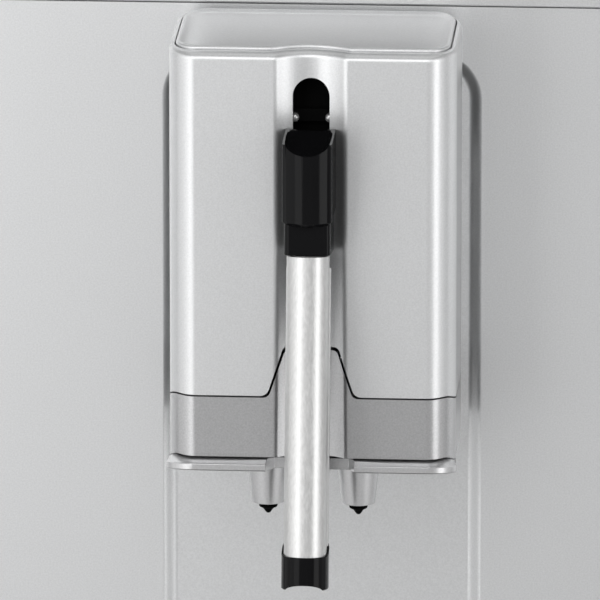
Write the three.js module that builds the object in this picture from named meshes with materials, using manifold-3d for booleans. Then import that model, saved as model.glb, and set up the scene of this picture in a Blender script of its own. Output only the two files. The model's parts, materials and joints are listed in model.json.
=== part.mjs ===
// A bean to cup coffee machine, in millimetres. +Z is up, +X is the machine's right hand side seen from
// the front, and the front looks along -Y. The origin is on the table, under the middle of the machine.
import * as THREE from "three";
import { mergeVertices } from "three/addons/utils/BufferGeometryUtils.js";
import Module from "manifold-3d";

const wasm = await Module();
wasm.setup();

// Whole machine
const machineWidth = 280;
const machineDepth = 450;
const machineHeight = 385;
const skin = 3; // wall of the outer covers
const fit = 0.3; // gap between pieces that lie on each other
const play = 0.6; // gap round pieces that slide
const overrun = 1; // how far a cutting shape runs past what it cuts

// Base and feet
const footHeight = 6;
const footRadius = 12;
const footInset = 24;
const baseFloor = 4;
const baseTop = 62;
const baseWall = 3;

// Front panel and its slide channel
const tongueShare = 13 / 45; // drip tray in front of the panel, as a share of the depth
const panelWall = 2.6;
const panelDrop = 47.5; // machine's top to the panel's top
const channelWidth = 90;
const channelDepth = 5;
const channelTopGap = 15.4;
const channelRadius = 12;
const channelEdge = 3;

// Outlet head
const headWidth = 83.6;
const headDepth = 54;
const headDrop = 1.5;
const headFrontRadius = 12.8;
const headRearRadius = 9;
const headWall = 2.2;
const coverHeight = 102.3;
const coverRoof = 5;
const fluteWidth = 22;
const fluteDepth = 5;
const lidInset = 2.6;
const lidPocket = 2;
const lidRise = 1;
const keyholeWidth = 10.7;
const keyholeTop = 7.7;
const keyholeLength = 38;
const keyholePinRadius = 1.9;
const keyholePinDrop = 12.3;
const keyholePinHalf = 5.1;
const keyholePinDepth = 2;
const seamGap = 0.5;
const carriageHeight = 18.1;
const tongueHeight = 14;
const tongueBottomHalf = 12;
const tongueTopHalf = 7.5;
const lipWidth = 84.8;
const lipReach = 3.5;
const lipThickness = 2.2;
const lipDepth = 40;
const lipSplitHalf = 12.5;
const nozzleHalfSpacing = 13.2;
const nozzleSetback = 14;
const nozzleTopRadius = 6.5;
const nozzleEndRadius = 4.9;
const nozzleBore = 2.4;
const nozzleEnd = 137.8;
const tipRadius = 2.85;
const tipBore = 1;
const tipEndRadius = 1.5;
const tipFlange = 0.7;
const tipEnd = 140.4;
const tipStem = 5;
const splitterHalfWidth = 21;
const splitterFront = 8;
const splitterBack = 21;
const splitterHeight = 11;
const splitterWall = 2;

// Slide of the outlet head behind the panel
const outletTravel = 75;
const sliderHeight = 30;
const sliderDrop = 18;
const sliderWebHalf = 5;
const sliderFlangeHalf = 18;
const sliderFlange = 6;
const sliderInnerHalf = 15;
const sliderInner = 5;
const railHalf = 13;
const railThickness = 3;
const railDrop = 16.4;
const railEnd = 12;

// Milk frother
const handleWidth = 14.4;
const handleReach = 19.4;
const handleTop = 22.4;
const handleHeight = 24.4;
const handleScoop = 1.7;
const handleScoopHalf = 5;
const neckWidth = 9.6;
const neckDrop = 2.6;
const neckHeight = 19;
const keyHalf = 8;
const keyThickness = 3;
const keyPinGap = 0.8;
const collarHalf = 6.7;
const collarHeight = 8.4;
const collarSetback = 3;
const wandTilt = 9;
const wandTop = 56.8;
const wandSetback = 6.6;
const sleeveWidth = 12.3;
const sleeveDepth = 15;
const sleeveLength = 88;
const sleeveWall = 1;
const steamTubeRadius = 3;
const steamTubeBore = 1.4;
const steamTubeEnd = 6;
const spacerRadius = 4.6;
const capWidth = 13.7;
const capDepth = 16;
const capHeight = 8.9;
const capRoof = 2.5;
const capWall = 1.6;
const capNotch = 1.6;
const frotherTravel = 12;

// Control fascia
const fasciaShare = 4 / 45; // fascia depth as a share of the whole depth
const fasciaWall = 3;
const fasciaCorner = 6;
const topRise = 5; // highest lid or dial over the top cover
const displayGap = 42; // display to the knob
const displayHeight = 20;
const displayFlange = 3;
const displayGlass = 2.4;
const knobRadius = 15;
const knobLength = 14;
const knobShaft = 3;
const knobShaftLength = 12;
const knobGroove = 0.9;
const knobGrooves = 12;
const knobSide = 48; // knob axis to the machine's side
const buttonRadius = 7;
const buttonProud = 2.5;
const buttonTravel = 1.6;
const buttonFlange = 1.8;
const buttonFlangeRadius = 9;
const buttonPitch = 25;
const buttonSide = 28; // first button to the machine's side
const clip = 2; // wall of the ring that keeps a button or a lens in place

// Top cover, beans and grinder
const topWall = 4;
const beanShare = 104 / 450; // bean container depth as a share of the whole depth
const beanGap = 6; // bean container to the inner chassis
const beanSide = 3; // bean container to the side cover
const beanWall = 2.5;
const beanHeightShare = 97 / 385; // bean container height as a share of the machine's
const beanCorner = 8;
const beanFunnelHeight = 20;
const beanFunnelRim = 8; // container side to the funnel's edge
const beanThroat = 15;
const beanRim = 5;
const beanLidRise = 3.4;
const beanLidEdge = 6;
const beanHinge = 2.2;
const grinderDrop = 47.7; // bean container to the grinder's shelf
const grinderRadius = 42;
const grinderBore = 33;
const grinderHeight = 46;
const grinderFloor = 5;
const burrRadius = 31.5;
const burrHeight = 10;
const burrBore = 11;
const burrTeeth = 12;
const burrTooth = 1.2;
const lowerBurrLift = 7;
const burrShaft = 4;
const burrShaftLength = 26;
const burrConeHeight = 14;
const grinderMotorRadius = 30;
const grinderMotorShare = 70 / 385; // motor height as a share of the machine's
const grinderMotorStep = 22;
const grinderMotorStepHeight = 12;
const chuteHalf = 14;
const chuteHeight = 15;
const chuteWall = 1.8;
const dialRadius = 17;
const dialHeight = 4.2;
const dialGroove = 1.1;
const dialGrooves = 16;
const dialStem = 3.5;
const dialStemLength = 16;
const dialOffset = 8; // dial axis left of the middle between the bean container and the tank
const dialForward = 20;

// Inner chassis
const chassisWall = 3;
const chassisShare = 1 / 14; // chassis wall left of the middle, as a share of the width
const chassisForward = 60; // chassis front to the brewing axis
const chassisRearGap = 9;
const chassisSide = 3.7; // shelves to the side cover
const chassisDrop = 45; // machine's top to the chassis top
const brewShelf = 92;
const tankShelf = 140;
const shelfGap = 10; // brew frame to the tank's shelf
const studRadius = 3;
const postRadius = 6;

// Brew unit
const brewShare = 95 / 450; // panel to the brewing axis, as a share of the depth
const brewOffset = 2; // brewing axis left of the middle of its bay
const brewHalfWidth = 44;
const brewFrontShare = 48 / 450; // brewing axis to the frame's front, as a share of the depth
const brewBackGap = 16; // spindle axis to the frame's back
const brewHeightShare = 186 / 385; // brew frame height as a share of the machine's
const brewPlate = 4;
const chamberRadius = 31;
const chamberBore = 25;
const chamberBottomShare = 40 / 186; // shares of the brew frame's height
const chamberHeightShare = 60 / 186;
const chamberFloor = 5;
const chamberLug = 10;
const pistonRestGap = 12; // brew chamber to the resting piston
const pistonHeight = 16;
const pistonRadius = 24.4;
const pistonStem = 7;
const pistonTopGap = 14; // piston arm to the frame's top plate
const pistonArm = 12;
const pistonArmHalf = 9;
const spindleGap = 4.2; // spindle to the brew chamber
const spindleRadius = 4.8;
const spindleNut = 9;
const spindleGearRadius = 12;
const spindleGearHeight = 8;
const spindleGearTeeth = 14;
const spindleTooth = 1.6;
const spindleFoot = 1;
const spindleOver = 4; // spindle end over the frame's top
const brewMotorHalf = 17;
const brewMotorHeight = 46;
const brewMotorDepth = 30;
const brewMotorNeck = 8;
const brewWindowDrop = 34; // frame's top to the window for the chute

// Water tank
const tankWidth = 70;
const tankFrontGap = 8; // shelf's front edge to the tank
const tankSide = 5;
const tankWall = 2.4;
const tankCorner = 9;
const tankLidHeight = 7;
const tankLidSkirt = 3;
const tankPortRadius = 6;
const tankPortBore = 3;
const tankPortDrop = 5;
const tankRearGap = 4;

// Water pump, heater and board
const pumpSide = 44; // pump axis to the machine's side
const pumpForward = 14; // pump middle in front of the tank's middle
const pumpPlaceZ = 42;
const pumpRadius = 18;
const pumpInset = 22; // pump end inside the tank's length
const pumpCoilHalf = 23;
const pumpCoilLength = 42;
const pumpNose = 7;
const pumpNoseLength = 14;
const pumpPost = 10;
const heaterSide = 16; // heater to the machine's side
const heaterGap = 20; // heater to the inner chassis
const heaterDepth = 70;
const heaterHeightShare = 62 / 385; // heater height as a share of the machine's
const heaterForward = 4; // heater middle in front of the brewing axis
const heaterBottomShare = 56 / 385;
const heaterRib = 4;
const heaterRibs = 5;
const heaterPort = 6;
const heaterPortLength = 10;
const boardDepth = 110;
const boardTopGap = 60; // board to the chassis top
const boardThickness = 1.6;
const boardForward = 72; // board middle in front of the chassis rear
const boardBottom = 110;
const boardStandoff = 20;
const boardInset = 8;
const relayHeight = 18;
const relayWidth = 22;
const relayCount = 4;
const hoseRadius = 3;
const hoseBend = 26;
const hoseSetback = 21; // hoses behind the panel's front
const hoseSide = 42;

// Drip tray
const traySide = 18.3; // tray to the machine's side
const trayFrontHeight = 46;
const trayRearHeight = 36;
const trayWall = 2.4;
const trayCorner = 16;
const trayRearGap = 12; // rear of the tray to the inner chassis
const trayRearSide = 22; // rear of the tray to the machine's side
const trayRearReach = 60; // brewing axis to the tray's rear end
const trayHandleHalf = 40;
const trayHandleHeight = 12;
const tongueInset = 2;
const gridHeight = 3.7;
const gridSlots = 14;
const gridSlotWidth = 7;
const gridSlotRows = 2;
const gridRim = 9;
const gridRib = 8;
const floatHalf = 11;
const floatHeight = 14;
const floatStem = 3;
const floatSide = 48; // float to the machine's side
const floatSetback = 30;
const groundsHeight = 47;
const groundsWall = 2;
const groundsCorner = 6;

// Covers, door, switch and gland
const glandRise = 4;
const glandRadius = 7;
const glandFlange = 10;
const glandFlangeHeight = 2;
const glandBore = 3.6;
const glandSide = 40; // gland axis to the machine's side
const glandPlaceZ = 86;
const glandTail = 10;
const switchWidth = 13;
const switchHeight = 22;
const switchBack = 5;
const switchFace = 3.6;
const switchDish = 1.4;
const switchThrow = 8;
const switchGap = 40; // gland axis to the switch
const switchRoom = 1.9;
const ventCount = 9;
const ventWidth = 4;
const ventLength = 70;
const ventPitch = 11;
const ventDrop = 80; // top cover to the middle of the vents
const doorForward = 52; // brewing axis to the door's front edge
const doorReach = 58; // brewing axis to the door's rear edge
const doorBottom = 96;
const doorDrop = 85; // machine's top to the door
const doorHinge = 2.6;
const doorTab = 8;
const doorTabHeight = 26;
const doorTabReach = 5;

const round = 24; // sides of a turned piece
const smallRound = 14; // sides of a small turned piece
const arcSteps = 4; // steps in a rounded corner

// Planes worked out from the sizes above
const halfWidth = machineWidth / 2;
const frontY = -machineDepth / 2;
const backY = machineDepth / 2;
const coverBackY = backY - glandRise;
const panelY = frontY + tongueShare * machineDepth;
const panelHalf = halfWidth - skin - fit;
const topZ = machineHeight - topRise;
const panelTop = machineHeight - panelDrop;
const doorTop = machineHeight - doorDrop;
const ventPlaceZ = topZ - ventDrop;
const topUnder = topZ - topWall;
const floorZ = footHeight + fit;
const baseFloorTop = floorZ + baseFloor;
const headTopZ = panelTop - headDrop;
const headFrontY = panelY - play - headDepth;
const fluteRadius = (fluteWidth ** 2 / 4 + fluteDepth ** 2) / (2 * fluteDepth);
const fluteCentreY = fluteDepth - fluteRadius;
// Back of the cover's wall at the edge of the keyhole
const keyholeWallBack =
  fluteCentreY + Math.sqrt((fluteRadius + headWall) ** 2 - (keyholeWidth / 2) ** 2);
const fasciaBackY = panelY + fasciaShare * machineDepth;
const fasciaBottom = panelTop + fit;
const controlZ = (fasciaBottom + topZ) / 2;
const knobPlace = halfWidth - knobSide;
const buttonFirst = halfWidth - buttonSide;
const displayWidth = 2 * (knobPlace - knobRadius - displayGap);
const glandPlaceX = -halfWidth + glandSide;
const switchPlaceX = glandPlaceX + switchGap;

// Inner layout, side to side
const chassisPlace = -machineWidth * chassisShare;
const shelfReach = halfWidth - skin - chassisSide;
const brewPlaceX = (chassisPlace + halfWidth) / 2 - brewOffset;
const beanLeft = -halfWidth + skin + beanSide;
const beanRight = chassisPlace - beanGap;
const beanWidth = beanRight - beanLeft;
const beanX = (beanLeft + beanRight) / 2;
const tankRight = halfWidth - skin - tankSide;
const tankX = tankRight - tankWidth / 2;
const dialPlaceX = (beanRight + tankRight - tankWidth) / 2 - dialOffset;
const heaterWidth = chassisPlace - heaterGap + halfWidth - heaterSide;
const heaterPlaceX = chassisPlace - heaterGap - heaterWidth / 2;
const pumpPlaceX = halfWidth - pumpSide;
const trayWidth = machineWidth - 2 * traySide;
const trayRearLeft = chassisPlace + trayRearGap;
const trayRearRight = halfWidth - trayRearSide;
const floatPlaceX = -halfWidth + floatSide;

// Inner layout, front to back
const brewPlaceY = panelY + brewShare * machineDepth;
const brewFront = brewFrontShare * machineDepth;
const spindleSetback = chamberRadius + spindleRadius + spindleGap;
const brewBack = spindleSetback + brewBackGap;
const beanMiddle = brewPlaceY;
const beanDepth = beanShare * machineDepth;
const beanFront = beanMiddle - beanDepth / 2;
const beanBack = beanMiddle + beanDepth / 2;
const beanFunnelRadius = Math.min(beanWidth, beanDepth) / 2 - beanFunnelRim;
const dialPlaceY = brewPlaceY - dialForward;
const chassisFront = brewPlaceY - chassisForward;
const chassisRear = coverBackY - chassisRearGap;
const shelfSplit = brewPlaceY + brewBack + shelfGap; // brew bay in front of it, tank bay behind it
const tankBack = coverBackY - skin - tankRearGap;
const tankDepth = tankBack - shelfSplit - tankFrontGap;
const tankY = tankBack - tankDepth / 2;
const pumpPlaceY = tankY - pumpForward;
const pumpLength = tankDepth - 2 * pumpInset;
const heaterPlaceY = brewPlaceY - heaterForward;
const boardPlaceY = chassisRear - boardForward;
const hosePlaceY = panelY + hoseSetback;
const trayRearEnd = brewPlaceY + trayRearReach;
const doorFront = brewPlaceY - doorForward;
const doorRear = brewPlaceY + doorReach;

// Inner layout, upwards
const tankBottom = tankShelf + fit;
const tankTop = topZ - tankLidHeight - fit;
const beanHeight = beanHeightShare * machineHeight;
const grinderShelf = topUnder - fit - beanHeight - grinderDrop;
const grinderMotorHeight = grinderMotorShare * machineHeight;
const chassisTop = machineHeight - chassisDrop;
const boardHeight = chassisTop - boardTopGap - boardBottom;
const heaterHeight = heaterHeightShare * machineHeight;
const heaterBottom = heaterBottomShare * machineHeight;
const brewHeight = brewHeightShare * machineHeight;
const chamberBottom = chamberBottomShare * brewHeight;
const chamberHeight = chamberHeightShare * brewHeight;
const pistonLift = chamberBottom + chamberHeight + pistonRestGap;
const pistonStemHeight = brewHeight - 2 * brewPlate - pistonLift - pistonHeight - pistonTopGap;
const spindleRise = brewHeight + spindleOver;
const brewWindowTop = brewHeight - brewWindowDrop;

// A closed three.js geometry as a solid, with its faces turned outwards
function solidOf(geometry) {
  geometry.deleteAttribute("normal");
  geometry.deleteAttribute("uv");
  const merged = mergeVertices(geometry, 1e-4);
  const vertProperties = merged.attributes.position.array;
  const triVerts = new Uint32Array(merged.index.array);
  const made = new wasm.Manifold(new wasm.Mesh({ numProp: 3, vertProperties, triVerts }));
  if (made.volume() > 0) return made;
  return new wasm.Manifold(
    new wasm.Mesh({ numProp: 3, vertProperties, triVerts: triVerts.slice().reverse() }),
  );
}

// A box between two values on each axis
function block(x0, x1, y0, y1, z0, z1) {
  const geometry = new THREE.BoxGeometry(x1 - x0, y1 - y0, z1 - z0);
  geometry.translate((x0 + x1) / 2, (y0 + y1) / 2, (z0 + z1) / 2);
  return solidOf(geometry);
}

// An outline drawn in X and Y, from one height to another
function plate(outline, z0, z1) {
  const options = { depth: z1 - z0, bevelEnabled: false, curveSegments: arcSteps };
  return solidOf(new THREE.ExtrudeGeometry(outline, options).translate(0, 0, z0));
}

// An outline drawn in X and Z, from one depth to another
function upright(outline, y0, y1) {
  const options = { depth: y1 - y0, bevelEnabled: false, curveSegments: arcSteps };
  const geometry = new THREE.ExtrudeGeometry(outline, options);
  return solidOf(geometry.rotateX(Math.PI / 2).translate(0, y1, 0));
}

// An outline drawn in Y and Z, from one side to another
function sideways(outline, x0, x1) {
  const options = { depth: x1 - x0, bevelEnabled: false, curveSegments: arcSteps };
  const geometry = new THREE.ExtrudeGeometry(outline, options);
  const turn = new THREE.Matrix4().makeBasis(
    new THREE.Vector3(0, 1, 0),
    new THREE.Vector3(0, 0, 1),
    new THREE.Vector3(1, 0, 0),
  );
  return solidOf(geometry.applyMatrix4(turn).translate(x0, 0, 0));
}

// A rectangle with rounded corners
function roundedRect(x0, x1, y0, y1, radius) {
  const shape = new THREE.Shape();
  shape.moveTo(x0 + radius, y0);
  shape.lineTo(x1 - radius, y0);
  shape.absarc(x1 - radius, y0 + radius, radius, -Math.PI / 2, 0, false);
  shape.lineTo(x1, y1 - radius);
  shape.absarc(x1 - radius, y1 - radius, radius, 0, Math.PI / 2, false);
  shape.lineTo(x0 + radius, y1);
  shape.absarc(x0 + radius, y1 - radius, radius, Math.PI / 2, Math.PI, false);
  shape.lineTo(x0, y0 + radius);
  shape.absarc(x0 + radius, y0 + radius, radius, Math.PI, 1.5 * Math.PI, false);
  return shape;
}

// A straight sided outline through the given points
function polygon(points) {
  return new THREE.Shape(points.map(([u, v]) => new THREE.Vector2(u, v)));
}

// A round bar along Z; endRadius is its radius at z1
function post(x, y, z0, z1, radius, endRadius = radius, sides = round) {
  const geometry = new THREE.CylinderGeometry(endRadius, radius, z1 - z0, sides);
  return solidOf(geometry.rotateX(Math.PI / 2).translate(x, y, (z0 + z1) / 2));
}

// A round bar along Y; endRadius is its radius at y1
function bar(x, z, y0, y1, radius, endRadius = radius, sides = round) {
  const geometry = new THREE.CylinderGeometry(endRadius, radius, y1 - y0, sides);
  return solidOf(geometry.translate(x, (y0 + y1) / 2, z));
}

// A round bar along X
function crossbar(y, z, x0, x1, radius, sides = smallRound) {
  const geometry = new THREE.CylinderGeometry(radius, radius, x1 - x0, sides);
  return solidOf(geometry.rotateZ(Math.PI / 2).translate((x0 + x1) / 2, y, z));
}

// A toothed disc about Z
function toothedDisc(x, y, z0, z1, radius, tooth, teeth) {
  const shape = new THREE.Shape();
  for (let i = 0; i < 2 * teeth; i++) {
    const reach = i % 2 ? radius - tooth : radius;
    const angle = (i * Math.PI) / teeth;
    if (i) shape.lineTo(x + reach * Math.cos(angle), y + reach * Math.sin(angle));
    else shape.moveTo(x + reach, y);
  }
  return plate(shape, z0, z1);
}

// A hose along a smooth path
function hose(points, radius) {
  const path = new THREE.CatmullRomCurve3(points.map((p) => new THREE.Vector3(...p)));
  const section = new THREE.Shape();
  section.absarc(0, 0, radius, 0, 2 * Math.PI, false);
  const options = { steps: 4 * points.length, curveSegments: arcSteps, extrudePath: path };
  return solidOf(new THREE.ExtrudeGeometry(section, options));
}

const joined = (first, ...more) => more.reduce((sum, next) => sum.add(next), first);
const without = (first, ...cuts) => cuts.reduce((rest, next) => rest.subtract(next), first);

const finishes = {
  silverPaint: { color: 0xc9cacc, roughness: 0.42, metalness: 0.55 },
  darkSilver: { color: 0x9fa1a4, roughness: 0.38, metalness: 0.6 },
  brushedSteel: { color: 0xd2d2d0, roughness: 0.3, metalness: 0.95 },
  castAluminium: { color: 0xa9abad, roughness: 0.5, metalness: 0.8 },
  blackPlastic: { color: 0x0d0d0e, roughness: 0.32, metalness: 0 },
  mattBlack: { color: 0x17181a, roughness: 0.65, metalness: 0 },
  greyPlastic: { color: 0x77797c, roughness: 0.6, metalness: 0 },
  whitePlastic: { color: 0xe4e4e0, roughness: 0.5, metalness: 0 },
  clearPlastic: { color: 0x8d9499, roughness: 0.12, metalness: 0 },
  displayGlass: { color: 0x05070a, roughness: 0.08, metalness: 0 },
  rubber: { color: 0x101010, roughness: 0.85, metalness: 0 },
  circuitGreen: { color: 0x1f5a3a, roughness: 0.6, metalness: 0 },
  ceramic: { color: 0xd9d6cf, roughness: 0.4, metalness: 0 },
  floatRed: { color: 0xb3221c, roughness: 0.5, metalness: 0 },
};

// Adds one named piece with its own material to a group
function addPiece(group, name, solid, finish) {
  const data = solid.getMesh();
  const geometry = new THREE.BufferGeometry();
  geometry.setAttribute("position", new THREE.BufferAttribute(data.vertProperties, 3));
  geometry.setIndex(new THREE.BufferAttribute(data.triVerts, 1));
  geometry.computeVertexNormals();
  const mesh = new THREE.Mesh(geometry, new THREE.MeshStandardMaterial(finishes[finish]));
  mesh.name = name;
  group.add(mesh);
  return mesh;
}

// A group whose own origin is at the given place
function groupAt(parent, x, y, z) {
  const group = new THREE.Group();
  group.position.set(x, y, z);
  parent.add(group);
  return group;
}

// Plan outline of the outlet head, drawn in by the inset. The flute's arc has its centre before the face.
function headOutline(inset) {
  const half = headWidth / 2 - inset;
  const back = headDepth - inset;
  const frontR = headFrontRadius - inset;
  const rearR = headRearRadius - inset;
  const arcRadius = fluteRadius + inset;
  const rise = inset - fluteCentreY;
  const reach = Math.sqrt(arcRadius ** 2 - rise ** 2);
  const shape = new THREE.Shape();
  shape.moveTo(-half, back - rearR);
  shape.lineTo(-half, inset + frontR);
  shape.absarc(-half + frontR, inset + frontR, frontR, Math.PI, 1.5 * Math.PI, false);
  shape.lineTo(-reach, inset);
  shape.absarc(0, fluteCentreY, arcRadius, Math.atan2(rise, -reach), Math.atan2(rise, reach), true);
  shape.lineTo(half - frontR, inset);
  shape.absarc(half - frontR, inset + frontR, frontR, -Math.PI / 2, 0, false);
  shape.lineTo(half, back - rearR);
  shape.absarc(half - rearR, back - rearR, rearR, 0, Math.PI / 2, false);
  shape.absarc(-half + rearR, back - rearR, rearR, Math.PI / 2, Math.PI, false);
  return shape;
}

// A slot with a round top, drawn in X and Z
function keyhole(halfWidthOfSlot, top, bottom) {
  const shape = new THREE.Shape();
  shape.moveTo(-halfWidthOfSlot, bottom);
  shape.lineTo(halfWidthOfSlot, bottom);
  shape.lineTo(halfWidthOfSlot, top - halfWidthOfSlot);
  shape.absarc(0, top - halfWidthOfSlot, halfWidthOfSlot, 0, Math.PI, false);
  return shape;
}

// The tongue of the carriage in the flute, drawn in X and Z and grown by the gap
function tongueOutline(seam, gap) {
  const bottom = seam - overrun;
  const top = seam + tongueHeight + gap;
  return polygon([
    [-tongueBottomHalf - gap, bottom],
    [tongueBottomHalf + gap, bottom],
    [tongueBottomHalf + gap, seam],
    [tongueTopHalf + gap, top],
    [-tongueTopHalf - gap, top],
    [-tongueBottomHalf - gap, seam],
  ]);
}

function addBase(machine) {
  const bayLeft = trayRearLeft - play;
  const bayRight = trayRearRight + play;
  const tongueHalf = trayWidth / 2 - tongueInset;
  const inner = panelHalf - baseWall;
  const rearInner = coverBackY - skin - fit - baseWall;
  const wallFront = panelY + baseWall;
  let base = joined(
    plate(
      roundedRect(-tongueHalf, tongueHalf, frontY + tongueInset, panelY + trayCorner, trayCorner),
      floorZ,
      baseFloorTop,
    ),
    block(-panelHalf, panelHalf, panelY, rearInner + baseWall, floorZ, baseTop),
  );
  base = without(
    base,
    block(-inner, inner, wallFront, rearInner, baseFloorTop, baseTop + overrun),
    block(bayLeft, bayRight, panelY - overrun, wallFront + overrun, baseFloorTop, baseTop + overrun),
  );
  // Posts under the heater and the pump
  const postTop = heaterBottom - fit;
  for (const sideX of [-1, 1]) {
    for (const sideY of [-1, 1]) {
      const x = heaterPlaceX + sideX * (heaterWidth / 2 - postRadius);
      const y = heaterPlaceY + sideY * (heaterDepth / 2 - postRadius);
      base = base.add(post(x, y, floorZ + overrun, postTop, postRadius, postRadius, smallRound));
    }
  }
  for (const side of [-1, 1]) {
    const y = pumpPlaceY + side * (pumpCoilLength / 2 + pumpPost);
    const cradle = block(
      pumpPlaceX - pumpRadius,
      pumpPlaceX + pumpRadius,
      y - pumpPost / 2,
      y + pumpPost / 2,
      floorZ + overrun,
      pumpPlaceZ - pumpRadius / 2,
    );
    const saddle = bar(pumpPlaceX, pumpPlaceZ, y - pumpPost, y + pumpPost, pumpRadius + fit);
    base = base.add(cradle.subtract(saddle));
  }
  addPiece(machine, "base_frame", base, "mattBlack");

  const footX = tongueHalf - footInset;
  const rearFootX = panelHalf - footInset;
  const places = {
    foot_front_left: [-footX, frontY + footInset],
    foot_front_right: [footX, frontY + footInset],
    foot_rear_left: [-rearFootX, coverBackY - footInset],
    foot_rear_right: [rearFootX, coverBackY - footInset],
  };
  for (const [name, [x, y]] of Object.entries(places)) {
    addPiece(machine, name, post(x, y, 0, footHeight, footRadius), "rubber");
  }
}

function slotCut(y0, y1) {
  const half = sliderWebHalf + play;
  const top = headTopZ - sliderDrop + play;
  const bottom = headTopZ - sliderDrop - sliderHeight - outletTravel - play;
  return block(-half, half, y0, y1, bottom, top);
}

function addFrontPanel(machine) {
  const bottom = baseTop + fit;
  const half = channelWidth / 2;
  const floorY = panelY + channelDepth;
  const channelTop = panelTop - channelTopGap;
  const channel = (grow) =>
    roundedRect(
      -half - grow,
      half + grow,
      bottom - channelRadius - overrun,
      channelTop + grow,
      channelRadius,
    );
  let panel = joined(
    block(-panelHalf, panelHalf, panelY, panelY + panelWall, bottom, panelTop),
    upright(channel(channelEdge), panelY + overrun, floorY + panelWall).intersect(
      block(-panelHalf, panelHalf, panelY, backY, bottom, panelTop),
    ),
  );
  panel = without(
    panel,
    upright(channel(0), panelY - overrun, floorY),
    slotCut(floorY - overrun, floorY + panelWall + overrun),
  );
  addPiece(machine, "front_panel", panel, "silverPaint");

  const railFront = floorY + panelWall + fit;
  const railTop = headTopZ - railDrop + railEnd;
  const railBottom = headTopZ - sliderDrop - sliderHeight - outletTravel - railEnd;
  const rail = block(-railHalf, railHalf, railFront, railFront + railThickness, railBottom, railTop);
  addPiece(
    machine,
    "guide_rail",
    rail.subtract(slotCut(railFront - overrun, railFront + railThickness + overrun)),
    "brushedSteel",
  );
}

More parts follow.
